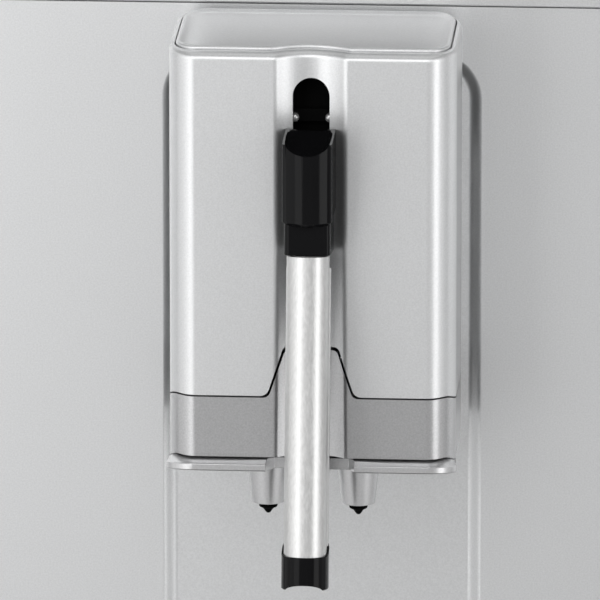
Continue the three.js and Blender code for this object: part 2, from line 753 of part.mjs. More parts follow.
function addOutlet(machine) {
  const head = groupAt(machine, 0, headFrontY, headTopZ);
  const seam = -coverHeight;
  const slotHalf = keyholeWidth / 2;
  const keyholeBottom = -keyholeTop - keyholeLength;

  // Upper cover: a shell, open below, with the lid's pocket, the keyhole and a window for the slider
  const windowTop = -sliderDrop + play;
  const windowBottom = -sliderDrop - sliderHeight - play;
  const cover = without(
    plate(headOutline(0), seam, 0),
    plate(headOutline(headWall), seam - overrun, -coverRoof),
    plate(headOutline(lidInset - fit), -lidPocket, overrun),
    upright(keyhole(slotHalf, -keyholeTop, keyholeBottom), -overrun, fluteDepth + headWall + overrun),
    upright(tongueOutline(seam, seamGap), -overrun, fluteDepth + headWall + overrun),
    block(
      -sliderWebHalf - play,
      sliderWebHalf + play,
      headDepth - headWall - overrun,
      headDepth + overrun,
      windowBottom,
      windowTop,
    ),
  );
  addPiece(head, "outlet_cover", cover, "silverPaint");
  addPiece(head, "outlet_lid", plate(headOutline(lidInset), -lidPocket + fit, lidRise), "silverPaint");

  // Guide pins that show in the keyhole, on a strip across the slot inside the cover
  const pinY = keyholeWallBack + fit;
  const pinStrip = block(
    -keyHalf,
    keyHalf,
    pinY + keyholePinDepth,
    pinY + 2 * keyholePinDepth,
    -keyholeTop - keyholePinDrop - keyholePinRadius,
    -keyholeTop - keyholePinDrop + keyholePinRadius,
  );
  const pins = [-1, 1].map((side) =>
    bar(
      side * keyholePinHalf,
      -keyholeTop - keyholePinDrop,
      pinY,
      pinY + keyholePinDepth + overrun,
      keyholePinRadius,
      keyholePinRadius,
      smallRound,
    ),
  );
  addPiece(head, "keyhole_pins", joined(pinStrip, ...pins), "greyPlastic");

  // Lower carriage with the tongue that rises in the flute
  const carriageTop = seam - seamGap;
  const carriageBottom = seam - seamGap - carriageHeight;
  const tongue = plate(headOutline(0), carriageTop - overrun, seam + tongueHeight).intersect(
    upright(tongueOutline(seam, 0), -overrun, fluteDepth + headWall),
  );
  const carriage = without(
    joined(plate(headOutline(0), carriageBottom, carriageTop), tongue),
    plate(headOutline(headWall), carriageBottom + headWall, carriageTop + overrun).subtract(
      upright(tongueOutline(seam, 0), -overrun, fluteDepth + headWall),
    ),
    ...[-1, 1].map((side) =>
      post(
        side * nozzleHalfSpacing,
        nozzleSetback,
        carriageBottom - overrun,
        carriageBottom + headWall + overrun,
        nozzleBore,
        nozzleBore,
        smallRound,
      ),
    ),
  );
  addPiece(head, "outlet_carriage", carriage, "darkSilver");

  // Lip round the lower edge, split at the flute
  const lipTop = carriageBottom - fit;
  const lipBottom = lipTop - lipThickness;
  const lipHalf = lipWidth / 2;
  const lip = without(
    plate(roundedRect(-lipHalf, lipHalf, -lipReach, lipDepth, headFrontRadius), lipBottom, lipTop),
    block(
      -lipSplitHalf,
      lipSplitHalf,
      -lipReach - overrun,
      fluteDepth,
      lipBottom - overrun,
      lipTop + overrun,
    ),
    ...[-1, 1].map((side) =>
      post(
        side * nozzleHalfSpacing,
        nozzleSetback,
        lipBottom - overrun,
        lipTop + overrun,
        nozzleBore,
        nozzleBore,
        smallRound,
      ),
    ),
  );
  addPiece(head, "outlet_lip", lip, "darkSilver");

  // Coffee splitter on the carriage floor, with a leg over each nozzle
  const splitterBottom = carriageBottom + headWall + fit;
  const splitter = without(
    block(
      -splitterHalfWidth,
      splitterHalfWidth,
      splitterFront,
      splitterBack,
      splitterBottom,
      splitterBottom + splitterHeight,
    ),
    block(
      -splitterHalfWidth + splitterWall,
      splitterHalfWidth - splitterWall,
      splitterFront + splitterWall,
      splitterBack - splitterWall,
      splitterBottom + splitterWall,
      splitterBottom + splitterHeight + overrun,
    ),
    ...[-1, 1].map((side) =>
      post(
        side * nozzleHalfSpacing,
        nozzleSetback,
        splitterBottom - overrun,
        splitterBottom + splitterWall + overrun,
        nozzleBore,
        nozzleBore,
        smallRound,
      ),
    ),
  );
  addPiece(head, "coffee_splitter", splitter, "mattBlack");

  // Nozzles and their tips
  const nozzleTop = lipBottom - fit;
  for (const [word, side] of [["left", -1], ["right", 1]]) {
    const x = side * nozzleHalfSpacing;
    const nozzle = post(x, nozzleSetback, -nozzleEnd, nozzleTop, nozzleEndRadius, nozzleTopRadius).subtract(
      post(
        x,
        nozzleSetback,
        -nozzleEnd - overrun,
        nozzleTop + overrun,
        nozzleBore,
        nozzleBore,
        smallRound,
      ),
    );
    addPiece(head, "nozzle_" + word, nozzle, "darkSilver");
    const tipTop = -nozzleEnd - fit;
    const tip = without(
      joined(
        post(x, nozzleSetback, tipTop - tipFlange, tipTop, tipRadius, tipRadius, smallRound),
        post(x, nozzleSetback, -tipEnd, tipTop - tipFlange / 2, tipEndRadius, tipRadius - fit, smallRound),
        post(
          x,
          nozzleSetback,
          tipTop - tipFlange / 2,
          tipTop + tipStem,
          nozzleBore - fit,
          nozzleBore - fit,
          smallRound,
        ),
      ),
      post(x, nozzleSetback, -tipEnd - overrun, tipTop + tipStem + overrun, tipBore, tipBore, smallRound),
    );
    addPiece(head, "nozzle_tip_" + word, tip, "mattBlack");
  }

  // Slider: a plate in the head, a web through the panel's slot and a flange behind the rail
  const sliderTop = -sliderDrop;
  const sliderBottom = -sliderDrop - sliderHeight;
  const innerBack = headDepth - headWall - fit;
  const flangeFront = panelY - headFrontY + channelDepth + panelWall + railThickness + 2 * fit + fit;
  const slider = joined(
    block(
      -sliderInnerHalf,
      sliderInnerHalf,
      innerBack - sliderInner,
      innerBack,
      sliderBottom,
      sliderTop,
    ),
    block(
      -sliderWebHalf,
      sliderWebHalf,
      innerBack - overrun,
      flangeFront + overrun,
      sliderBottom,
      sliderTop,
    ),
    block(
      -sliderFlangeHalf,
      sliderFlangeHalf,
      flangeFront,
      flangeFront + sliderFlange,
      sliderBottom,
      sliderTop,
    ),
  );
  addPiece(head, "outlet_slider", slider, "greyPlastic");

  addFrother(head);
}

function addFrother(head) {
  // Handle block with its thumb scoop, a neck through the keyhole and a key plate behind the cover's wall
  const halfHandle = handleWidth / 2;
  const handleBottom = -handleTop - handleHeight;
  const neckTop = -handleTop - neckDrop;
  const neckBottom = neckTop - neckHeight;
  const wallBack = keyholeWallBack - overrun;
  const keyFront = keyholeWallBack + fit;
  const keyTop = -keyholeTop - keyholePinDrop - keyholePinRadius - frotherTravel - keyPinGap;
  const handleBack = fluteCentreY + Math.sqrt(fluteRadius ** 2 - halfHandle ** 2) - play;
  const scoopRadius = (handleScoopHalf ** 2 + handleScoop ** 2) / (2 * handleScoop);
  const handle = joined(
    without(
      block(-halfHandle, halfHandle, -handleReach, handleBack, handleBottom, -handleTop),
      bar(0, -handleTop + scoopRadius - handleScoop, -handleReach - overrun, 0, scoopRadius),
    ),
    block(-neckWidth / 2, neckWidth / 2, -overrun, wallBack, neckBottom, neckTop),
    block(-neckWidth / 2, neckWidth / 2, wallBack - overrun, keyFront + overrun, neckBottom, keyTop),
    block(-keyHalf, keyHalf, keyFront, keyFront + keyThickness, neckBottom, keyTop),
    block(
      -collarHalf,
      collarHalf,
      -handleReach + collarSetback,
      handleBack,
      handleBottom - collarHeight,
      handleBottom + overrun,
    ),
  );
  addPiece(head, "frother_handle", handle, "blackPlastic");

  // The wand hangs from the collar and leans forward at its foot
  const wand = groupAt(head, 0, -wandSetback - sleeveDepth / 4, -wandTop);
  wand.rotation.x = (-wandTilt * Math.PI) / 180;
  const oval = (inset) =>
    roundedRect(
      -sleeveWidth / 2 + inset,
      sleeveWidth / 2 - inset,
      -sleeveDepth / 2 + inset,
      sleeveDepth / 2 - inset,
      sleeveWidth / 2 - inset - fit,
    );
  const sleeve = plate(oval(0), -sleeveLength, 0).subtract(
    plate(oval(sleeveWall), -sleeveLength - overrun, overrun),
  );
  addPiece(wand, "frother_sleeve", sleeve, "brushedSteel");

  const tube = without(
    joined(
      post(0, 0, -sleeveLength + steamTubeEnd, 0, steamTubeRadius, steamTubeRadius, smallRound),
      post(0, 0, -spacerRadius, 0, sleeveWidth / 2 - sleeveWall - fit),
      post(0, 0, -sleeveLength + steamTubeEnd, -sleeveLength + steamTubeEnd + spacerRadius, spacerRadius),
    ),
    post(0, 0, -sleeveLength, overrun, steamTubeBore, steamTubeBore, smallRound),
  );
  addPiece(wand, "steam_tube", tube, "brushedSteel");

  const capTop = -sleeveLength - fit;
  const capBottom = capTop - capHeight;
  const capOutline = (inset) =>
    roundedRect(
      -capWidth / 2 + inset,
      capWidth / 2 - inset,
      -capDepth / 2 + inset,
      capDepth / 2 - inset,
      capWidth / 2 - inset - fit,
    );
  const notchRadius = (capWidth ** 2 / 16 + capNotch ** 2) / (2 * capNotch);
  const cap = without(
    plate(capOutline(0), capBottom, capTop),
    plate(capOutline(capWall), capBottom - overrun, capTop - capRoof),
    post(0, 0, capTop - capRoof - overrun, capTop + overrun, steamTubeBore, steamTubeBore, smallRound),
    bar(0, capBottom + capNotch - notchRadius, -capDepth, capDepth, notchRadius),
  );
  addPiece(wand, "frother_cap", cap, "blackPlastic");
}

function addFascia(machine) {
  const front = panelY;
  const inside = front + fasciaWall;
  const outer = sideways(
    polygon([
      [front, fasciaBottom],
      [fasciaBackY, fasciaBottom],
      [fasciaBackY, topZ],
      [front + fasciaCorner, topZ],
      [front, topZ - fasciaCorner],
    ]),
    -halfWidth,
    halfWidth,
  );
  const buttonX = [0, 1, 2].map((i) => -buttonFirst + i * buttonPitch);
  const ringBack = inside + clip + buttonFlange + buttonTravel;
  let fascia = without(
    outer,
    block(
      -halfWidth + skin,
      halfWidth - skin,
      inside,
      fasciaBackY + overrun,
      fasciaBottom - overrun,
      topZ - fasciaCorner - fasciaWall,
    ),
  );
  // A ring behind each button, which guides its flange
  for (const x of buttonX) {
    const ring = bar(x, controlZ, inside - overrun, ringBack, buttonFlangeRadius + play + clip);
    const hollow = bar(x, controlZ, inside, ringBack + overrun, buttonFlangeRadius + play);
    fascia = fascia.add(ring.subtract(hollow));
    fascia = fascia.subtract(bar(x, controlZ, front - overrun, inside + overrun, buttonRadius + fit));
  }
  const halfDisplay = displayWidth / 2;
  const halfScreen = displayHeight / 2;
  const window = block(
    -halfDisplay - fit,
    halfDisplay + fit,
    front - overrun,
    inside + overrun,
    controlZ - halfScreen - fit,
    controlZ + halfScreen + fit,
  );
  const knobHole = bar(knobPlace, controlZ, front - overrun, inside + overrun, knobShaft + play);
  addPiece(machine, "control_fascia", without(fascia, window, knobHole), "silverPaint");

  const lens = joined(
    block(
      -halfDisplay,
      halfDisplay,
      front + fasciaWall - displayGlass,
      inside + fit + overrun,
      controlZ - halfScreen,
      controlZ + halfScreen,
    ),
    block(
      -halfDisplay - displayFlange,
      halfDisplay + displayFlange,
      inside + fit,
      inside + fit + clip,
      controlZ - halfScreen - displayFlange / 2,
      controlZ + halfScreen + displayFlange / 2,
    ),
  );
  addPiece(machine, "display_lens", lens, "displayGlass");

  const names = ["button_power", "button_steam", "button_strength"];
  names.forEach((name, i) => {
    const x = buttonX[i];
    const button = joined(
      bar(x, controlZ, front - buttonProud, inside + fit + overrun, buttonRadius),
      bar(x, controlZ, inside + fit, inside + fit + buttonFlange, buttonFlangeRadius),
    );
    addPiece(machine, name, button, "darkSilver");
  });

  const knobFront = front - fit - knobLength;
  let knob = joined(
    bar(knobPlace, controlZ, knobFront, front - fit, knobRadius),
    bar(knobPlace, controlZ, front - fit - overrun, front - fit + knobShaftLength, knobShaft),
  );
  for (let i = 0; i < knobGrooves; i++) {
    const angle = (2 * Math.PI * (i + 1 / 2)) / knobGrooves;
    const x = knobPlace + knobRadius * Math.cos(angle);
    const z = controlZ + knobRadius * Math.sin(angle);
    knob = knob.subtract(bar(x, z, knobFront - overrun, front, knobGroove, knobGroove, arcSteps));
  }
  addPiece(machine, "selector_knob", knob, "brushedSteel");
}

function addCovers(machine) {
  const bottom = floorZ + baseFloor / 2;
  const top = topUnder - fit;
  const inner = halfWidth - skin;
  const notch = (x0, x1) => block(x0, x1, panelY - overrun, fasciaBackY + fit, panelTop, top + overrun);
  const left = without(
    block(-halfWidth, -inner, panelY, coverBackY, bottom, top),
    notch(-halfWidth - overrun, -inner + overrun),
  );
  addPiece(machine, "left_cover", left, "silverPaint");

  const right = without(
    block(inner, halfWidth, panelY, coverBackY, bottom, top),
    notch(inner - overrun, halfWidth + overrun),
    block(inner - overrun, halfWidth + overrun, doorFront, doorRear, doorBottom, doorTop),
  );
  addPiece(machine, "right_cover", right, "silverPaint");

  // The service door hangs on a pin at its rear edge and closes on two tabs at its front edge
  const pinX = halfWidth - doorHinge / 2;
  const pinY = doorRear - fit - doorHinge / 2;
  const door = joined(
    block(inner, halfWidth, doorFront + fit, pinY, doorBottom + fit, doorTop - fit),
    post(pinX, pinY, doorBottom + fit, doorTop - fit, doorHinge / 2, doorHinge / 2, smallRound),
    ...[1 / 3, 2 / 3].map((share) => {
      const z = doorBottom + share * (doorTop - doorBottom);
      return block(
        inner - doorTabReach,
        inner + overrun,
        doorFront + doorTab,
        doorFront + 2 * doorTab,
        z - doorTabHeight / 2,
        z + doorTabHeight / 2,
      );
    }),
  );
  addPiece(machine, "service_door", door, "silverPaint");

  // Rear cover with vents, the switch opening and the hole for the cord gland
  const rearFront = coverBackY - skin;
  const halfVents = ((ventCount - 1) * ventPitch) / 2;
  let rear = without(
    block(-panelHalf, panelHalf, rearFront, coverBackY, bottom, top),
    bar(glandPlaceX, glandPlaceZ, rearFront - overrun, coverBackY + overrun, glandRadius + fit),
    block(
      switchPlaceX - switchWidth / 2 - fit,
      switchPlaceX + switchWidth / 2 + fit,
      rearFront - overrun,
      coverBackY + overrun,
      glandPlaceZ - switchHeight / 2 - switchRoom,
      glandPlaceZ + switchHeight / 2 + switchRoom,
    ),
  );
  for (let i = 0; i < ventCount; i++) {
    const x = -halfVents + i * ventPitch;
    rear = rear.subtract(
      block(
        x - ventWidth / 2,
        x + ventWidth / 2,
        rearFront - overrun,
        coverBackY + overrun,
        ventPlaceZ - ventLength / 2,
        ventPlaceZ + ventLength / 2,
      ),
    );
  }
  addPiece(machine, "rear_cover", rear, "mattBlack");

  const gland = without(
    joined(
      bar(glandPlaceX, glandPlaceZ, rearFront - glandTail, coverBackY + fit + overrun, glandRadius),
      bar(glandPlaceX, glandPlaceZ, coverBackY + fit, coverBackY + fit + glandFlangeHeight, glandFlange),
      bar(glandPlaceX, glandPlaceZ, coverBackY + fit, backY, glandRadius, glandRadius - overrun),
    ),
    bar(glandPlaceX, glandPlaceZ, rearFront - 2 * glandTail, backY + overrun, glandBore),
  );
  addPiece(machine, "cord_gland", gland, "mattBlack");

  // The mains switch is a rocker on an axle at its own origin, tipped to its off side
  const rockerGroup = groupAt(machine, switchPlaceX, rearFront + skin / 2, glandPlaceZ);
  rockerGroup.rotation.x = (-switchThrow * Math.PI) / 180;
  const halfRocker = switchHeight / 2;
  const rocker = sideways(
    polygon([
      [-switchBack, -halfRocker],
      [switchFace, -halfRocker],
      [switchFace - switchDish, 0],
      [switchFace, halfRocker],
      [-switchBack, halfRocker],
    ]),
    -switchWidth / 2,
    switchWidth / 2,
  );
  addPiece(rockerGroup, "mains_switch", rocker, "mattBlack");
}

function addTop(machine) {
  const openX = beanWidth / 2 - beanRim;
  const openY = beanDepth / 2 - beanRim;
  const beanOpening = roundedRect(
    beanX - openX,
    beanX + openX,
    beanMiddle - openY,
    beanMiddle + openY,
    beanCorner,
  );
  const tankOpening = roundedRect(
    tankX - tankWidth / 2 - play,
    tankX + tankWidth / 2 + play,
    tankY - tankDepth / 2 - play,
    tankY + tankDepth / 2 + play,
    tankCorner,
  );
  const top = without(
    block(-halfWidth, halfWidth, fasciaBackY + fit, coverBackY, topUnder, topZ),
    plate(beanOpening, topUnder - overrun, topZ + overrun),
    plate(tankOpening, topUnder - overrun, topZ + overrun),
    post(
      dialPlaceX,
      dialPlaceY,
      topUnder - overrun,
      topZ + overrun,
      dialStem + fit,
      dialStem + fit,
      smallRound,
    ),
  );
  addPiece(machine, "top_cover", top, "darkSilver");

  // Bean container with a funnel down to the grinder
  const containerTop = topUnder - fit;
  const containerBottom = containerTop - beanHeight;
  const inX = beanWidth / 2 - beanWall;
  const inY = beanDepth / 2 - beanWall;
  const funnelTop = containerBottom + beanWall + beanFunnelHeight;
  const container = without(
    plate(roundedRect(beanLeft, beanRight, beanFront, beanBack, beanCorner), containerBottom, containerTop),
    plate(
      roundedRect(beanX - inX, beanX + inX, beanMiddle - inY, beanMiddle + inY, beanCorner - beanWall),
      funnelTop,
      containerTop + overrun,
    ),
    post(beanX, beanMiddle, containerBottom + beanWall, funnelTop + fit, beanThroat, beanFunnelRadius),
    post(beanX, beanMiddle, containerBottom - overrun, funnelTop, beanThroat),
  );
  addPiece(machine, "bean_container", container, "clearPlastic");

  // Bean lid: a plate over the opening, a plug inside it and a hinge roll at the back
  const lidX = openX + beanLidEdge;
  const lidY = openY + beanLidEdge;
  const lidBottom = topZ + fit;
  const lid = joined(
    plate(
      roundedRect(beanX - lidX, beanX + lidX, beanMiddle - lidY, beanMiddle + lidY, beanCorner),
      lidBottom,
      lidBottom + beanLidRise,
    ),
    plate(
      roundedRect(
        beanX - openX + play,
        beanX + openX - play,
        beanMiddle - openY + play,
        beanMiddle + openY - play,
        beanCorner - play,
      ),
      topUnder,
      lidBottom + overrun,
    ),
    crossbar(beanMiddle + lidY, lidBottom + beanHinge, beanX - lidX / 2, beanX + lidX / 2, beanHinge),
  );
  addPiece(machine, "bean_lid", lid, "blackPlastic");

  const dial = joined(
    toothedDisc(
      dialPlaceX,
      dialPlaceY,
      topZ + fit,
      topZ + fit + dialHeight,
      dialRadius,
      dialGroove,
      dialGrooves,
    ),
    post(
      dialPlaceX,
      dialPlaceY,
      topZ - dialStemLength,
      topZ + fit + overrun,
      dialStem,
      dialStem,
      smallRound,
    ),
  );
  addPiece(machine, "grind_dial", dial, "blackPlastic");
}

function addChassis(machine) {
  const x0 = chassisPlace;
  const x1 = chassisPlace + chassisWall;
  const foot = baseFloorTop + fit;
  const chamberTop = brewShelf + chassisWall + fit + brewPlate + chamberBottom + chamberHeight;
  const left = -panelHalf + fit;
  const dropX = brewHalfWidth - 2 * brewPlate;
  let chassis = joined(
    block(x0, x1, chassisFront, chassisRear, foot, chassisTop),
    block(x0, shelfReach, chassisFront, shelfSplit, brewShelf, brewShelf + chassisWall),
    block(shelfReach - chassisWall, shelfReach, chassisFront, shelfSplit, baseTop + fit, brewShelf + overrun),
    block(x0, shelfReach, shelfSplit, chassisRear, tankShelf - chassisWall, tankShelf),
    block(shelfReach - chassisWall, shelfReach, shelfSplit, chassisRear, baseTop + fit, tankShelf - overrun),
    block(left, x1, beanFront, beanBack, grinderShelf - chassisWall, grinderShelf),
    block(left, left + chassisWall, beanFront, beanBack, baseTop + fit, grinderShelf - overrun),
  );
  // Openings: spent coffee drops through the brew shelf, the chute passes the wall,
  // and the tank's port passes its shelf
  chassis = without(
    chassis,
    block(
      brewPlaceX - dropX,
      brewPlaceX + dropX,
      brewPlaceY - brewFront + 2 * brewPlate,
      brewPlaceY,
      brewShelf - overrun,
      brewShelf + chassisWall + overrun,
    ),
    block(
      beanX + grinderBore,
      x1 + overrun,
      beanMiddle - chuteHalf - play,
      beanMiddle + chuteHalf + play,
      chamberTop,
      grinderShelf + grinderHeight / 2 + play,
    ),
    post(
      tankX,
      tankY,
      tankShelf - chassisWall - overrun,
      tankShelf + overrun,
      tankPortRadius + play,
      tankPortRadius + play,
      smallRound,
    ),
    post(
      beanX,
      beanMiddle,
      grinderShelf - chassisWall - overrun,
      grinderShelf + overrun,
      burrShaft + play,
      burrShaft + play,
      smallRound,
    ),
  );
  for (const sideY of [-1, 1]) {
    for (const z of [boardBottom + boardInset, boardBottom + boardHeight - boardInset]) {
      const y = boardPlaceY + sideY * (boardDepth / 2 - boardInset);
      chassis = chassis.add(crossbar(y, z, x0 - boardStandoff, x0 + overrun, studRadius));
    }
  }
  addPiece(machine, "inner_chassis", chassis, "greyPlastic");

  // Control board on the studs, with its relays
  const boardRight = x0 - boardStandoff - fit;
  const boardLeft = boardRight - boardThickness;
  let board = block(
    boardLeft,
    boardRight,
    boardPlaceY - boardDepth / 2,
    boardPlaceY + boardDepth / 2,
    boardBottom,
    boardBottom + boardHeight,
  );
  for (let i = 0; i < relayCount; i++) {
    const z = boardBottom + ((i + 1 / 2) * boardHeight) / relayCount;
    const y = boardPlaceY + (i % 2 ? relayWidth / 2 : -relayWidth);
    board = board.add(
      block(
        boardLeft - relayHeight,
        boardLeft + boardThickness / 2,
        y - relayWidth / 2,
        y + relayWidth / 2,
        z - relayWidth / 2,
        z + relayWidth / 2,
      ),
    );
  }
  addPiece(machine, "power_board", board, "circuitGreen");
}

function addGrinder(machine) {
  const grinder = groupAt(machine, beanX, beanMiddle, grinderShelf);
  const bottom = fit;
  const floorTop = bottom + grinderFloor;
  const chamberFoot = brewShelf + chassisWall + fit + brewPlate + chamberBottom;
  const chamberTop = chamberFoot + chamberHeight + fit - grinderShelf;
  // Chute outline in X and Z, from the grinder wall down to the rim of the brew chamber
  const startX = grinderBore;
  const endX = brewPlaceX - chamberBore - play - beanX;
  const chute = (inset) =>
    upright(
      polygon([
        [startX - (inset ? overrun * 2 : 0), floorTop + inset],
        [endX + (inset ? overrun : 0), chamberTop + inset],
        [endX + (inset ? overrun : 0), chamberTop + chuteHeight / 2 + chuteWall - inset],
        [startX - (inset ? overrun * 2 : 0), floorTop + chuteHeight + 2 * chuteWall - inset],
      ]),
      -chuteHalf + inset,
      chuteHalf - inset,
    );
  const housing = without(
    joined(post(0, 0, bottom, grinderHeight, grinderRadius), chute(0)),
    post(0, 0, floorTop, grinderHeight + overrun, grinderBore),
    post(0, 0, bottom - overrun, floorTop + overrun, burrShaft + play, burrShaft + play, smallRound),
    chute(chuteWall),
  );
  addPiece(grinder, "grinder_housing", housing, "mattBlack");

  const lowerBottom = floorTop + lowerBurrLift;
  const lowerTop = lowerBottom + burrHeight;
  const lower = joined(
    toothedDisc(0, 0, lowerBottom, lowerTop, burrRadius, burrTooth, burrTeeth),
    post(0, 0, lowerTop - overrun, lowerTop + burrConeHeight, burrBore - 2 * play, burrShaft),
    post(0, 0, -burrShaftLength, lowerBottom + overrun, burrShaft, burrShaft, smallRound),
  );
  addPiece(grinder, "lower_burr", lower, "ceramic");

  const upperBottom = lowerTop + play;
  const upper = post(0, 0, upperBottom, upperBottom + burrHeight, grinderBore - fit).subtract(
    post(0, 0, upperBottom - overrun, upperBottom + burrHeight + overrun, burrBore, burrBore, smallRound),
  );
  addPiece(grinder, "upper_burr", upper, "ceramic");

  const motorTop = -chassisWall - fit;
  const motor = without(
    joined(
      post(0, 0, motorTop - grinderMotorStepHeight, motorTop, grinderMotorStep),
      post(
        0,
        0,
        motorTop - grinderMotorStepHeight - grinderMotorHeight,
        motorTop - grinderMotorStepHeight + fit,
        grinderMotorRadius,
      ),
    ),
    post(0, 0, -burrShaftLength - play, overrun, burrShaft + play, burrShaft + play, smallRound),
  );
  addPiece(grinder, "grinder_motor", motor, "brushedSteel");
}

function addBrewUnit(machine) {
  const brew = groupAt(machine, brewPlaceX, brewPlaceY, brewShelf + chassisWall + fit);
  const inner = brewHalfWidth - brewPlate;
  const frame = without(
    block(-brewHalfWidth, brewHalfWidth, -brewFront, brewBack, 0, brewHeight),
    block(-inner, inner, -brewFront - overrun, brewBack + overrun, brewPlate, brewHeight - brewPlate),
    block(
      -inner + brewPlate,
      inner - brewPlate,
      -brewFront + 2 * brewPlate,
      0,
      -overrun,
      brewPlate + overrun,
    ),
    // Window for the coffee chute
    block(
      -brewHalfWidth - overrun,
      -inner + overrun,
      -chuteHalf - play,
      chuteHalf + play,
      brewPlate + chamberBottom + chamberHeight - play,
      brewWindowTop,
    ),
    post(
      0,
      spindleSetback,
      brewHeight - brewPlate - overrun,
      brewHeight + overrun,
      spindleRadius + play,
      spindleRadius + play,
      smallRound,
    ),
  );
  addPiece(brew, "brew_frame", frame, "mattBlack");

  const bottom = brewPlate + chamberBottom;
  const top = bottom + chamberHeight;
  const lugs = block(
    -inner + fit,
    inner - fit,
    -chamberLug / 2,
    chamberLug / 2,
    bottom,
    bottom + chamberLug,
  );
  const chamber = without(
    joined(post(0, 0, bottom, top, chamberRadius), lugs),
    post(0, 0, bottom + chamberFloor, top + overrun, chamberBore),
    post(0, 0, bottom - overrun, top, steamTubeBore, steamTubeBore, smallRound),
  );
  addPiece(brew, "brew_chamber", chamber, "whitePlastic");

  const pistonBottom = brewPlate + pistonLift;
  const stemTop = pistonBottom + pistonHeight + pistonStemHeight;
  const piston = without(
    joined(
      post(0, 0, pistonBottom, pistonBottom + pistonHeight, pistonRadius),
      post(0, 0, pistonBottom + pistonHeight - overrun, stemTop, pistonStem),
      block(-pistonArmHalf, pistonArmHalf, 0, spindleSetback, stemTop - pistonArm, stemTop),
      post(0, spindleSetback, stemTop - pistonArm, stemTop, spindleNut),
    ),
    post(
      0,
      spindleSetback,
      stemTop - pistonArm - overrun,
      stemTop + overrun,
      spindleRadius + fit,
      spindleRadius + fit,
      smallRound,
    ),
  );
  addPiece(brew, "brew_piston", piston, "whitePlastic");

  const gearBottom = brewPlate + spindleFoot;
  const spindle = joined(
    post(0, spindleSetback, gearBottom, spindleRise, spindleRadius, spindleRadius, smallRound),
    toothedDisc(
      0,
      spindleSetback,
      gearBottom,
      gearBottom + spindleGearHeight,
      spindleGearRadius,
      spindleTooth,
      spindleGearTeeth,
    ),
  );
  addPiece(brew, "brew_spindle", spindle, "brushedSteel");

  const motorBottom = brewHeight + fit;
  const motor = without(
    joined(
      block(
        -brewMotorHalf,
        brewMotorHalf,
        spindleSetback - brewMotorDepth / 2,
        spindleSetback + brewMotorDepth / 2,
        motorBottom,
        motorBottom + brewMotorNeck + overrun,
      ),
      post(
        0,
        spindleSetback,
        motorBottom + brewMotorNeck,
        motorBottom + brewMotorHeight,
        brewMotorDepth / 2,
      ),
    ),
    post(
      0,
      spindleSetback,
      motorBottom - overrun,
      spindleRise + fit,
      spindleRadius + play,
      spindleRadius + play,
      smallRound,
    ),
  );
  addPiece(brew, "brew_motor", motor, "brushedSteel");
}

function addTank(machine) {
  const tank = groupAt(machine, tankX, tankY, 0);
  const halfX = tankWidth / 2;
  const halfY = tankDepth / 2;
  const outline = (inset) =>
    roundedRect(-halfX + inset, halfX - inset, -halfY + inset, halfY - inset, tankCorner - inset);
  const body = without(
    joined(
      plate(outline(0), tankBottom, tankTop),
      post(0, 0, tankBottom - tankPortDrop, tankBottom + overrun, tankPortRadius, tankPortRadius, smallRound),
    ),
    plate(outline(tankWall), tankBottom + tankWall, tankTop + overrun),
    post(
      0,
      0,
      tankBottom - tankPortDrop - overrun,
      tankBottom + tankWall + overrun,
      tankPortBore,
      tankPortBore,
      smallRound,
    ),
  );
  addPiece(tank, "water_tank", body, "clearPlastic");

  const lidBottom = tankTop + fit;
  const lid = joined(
    plate(outline(fit), lidBottom, topZ - fit),
    plate(outline(tankWall + play), lidBottom - tankLidSkirt, lidBottom + overrun),
  );
  addPiece(tank, "tank_lid", lid, "blackPlastic");
}

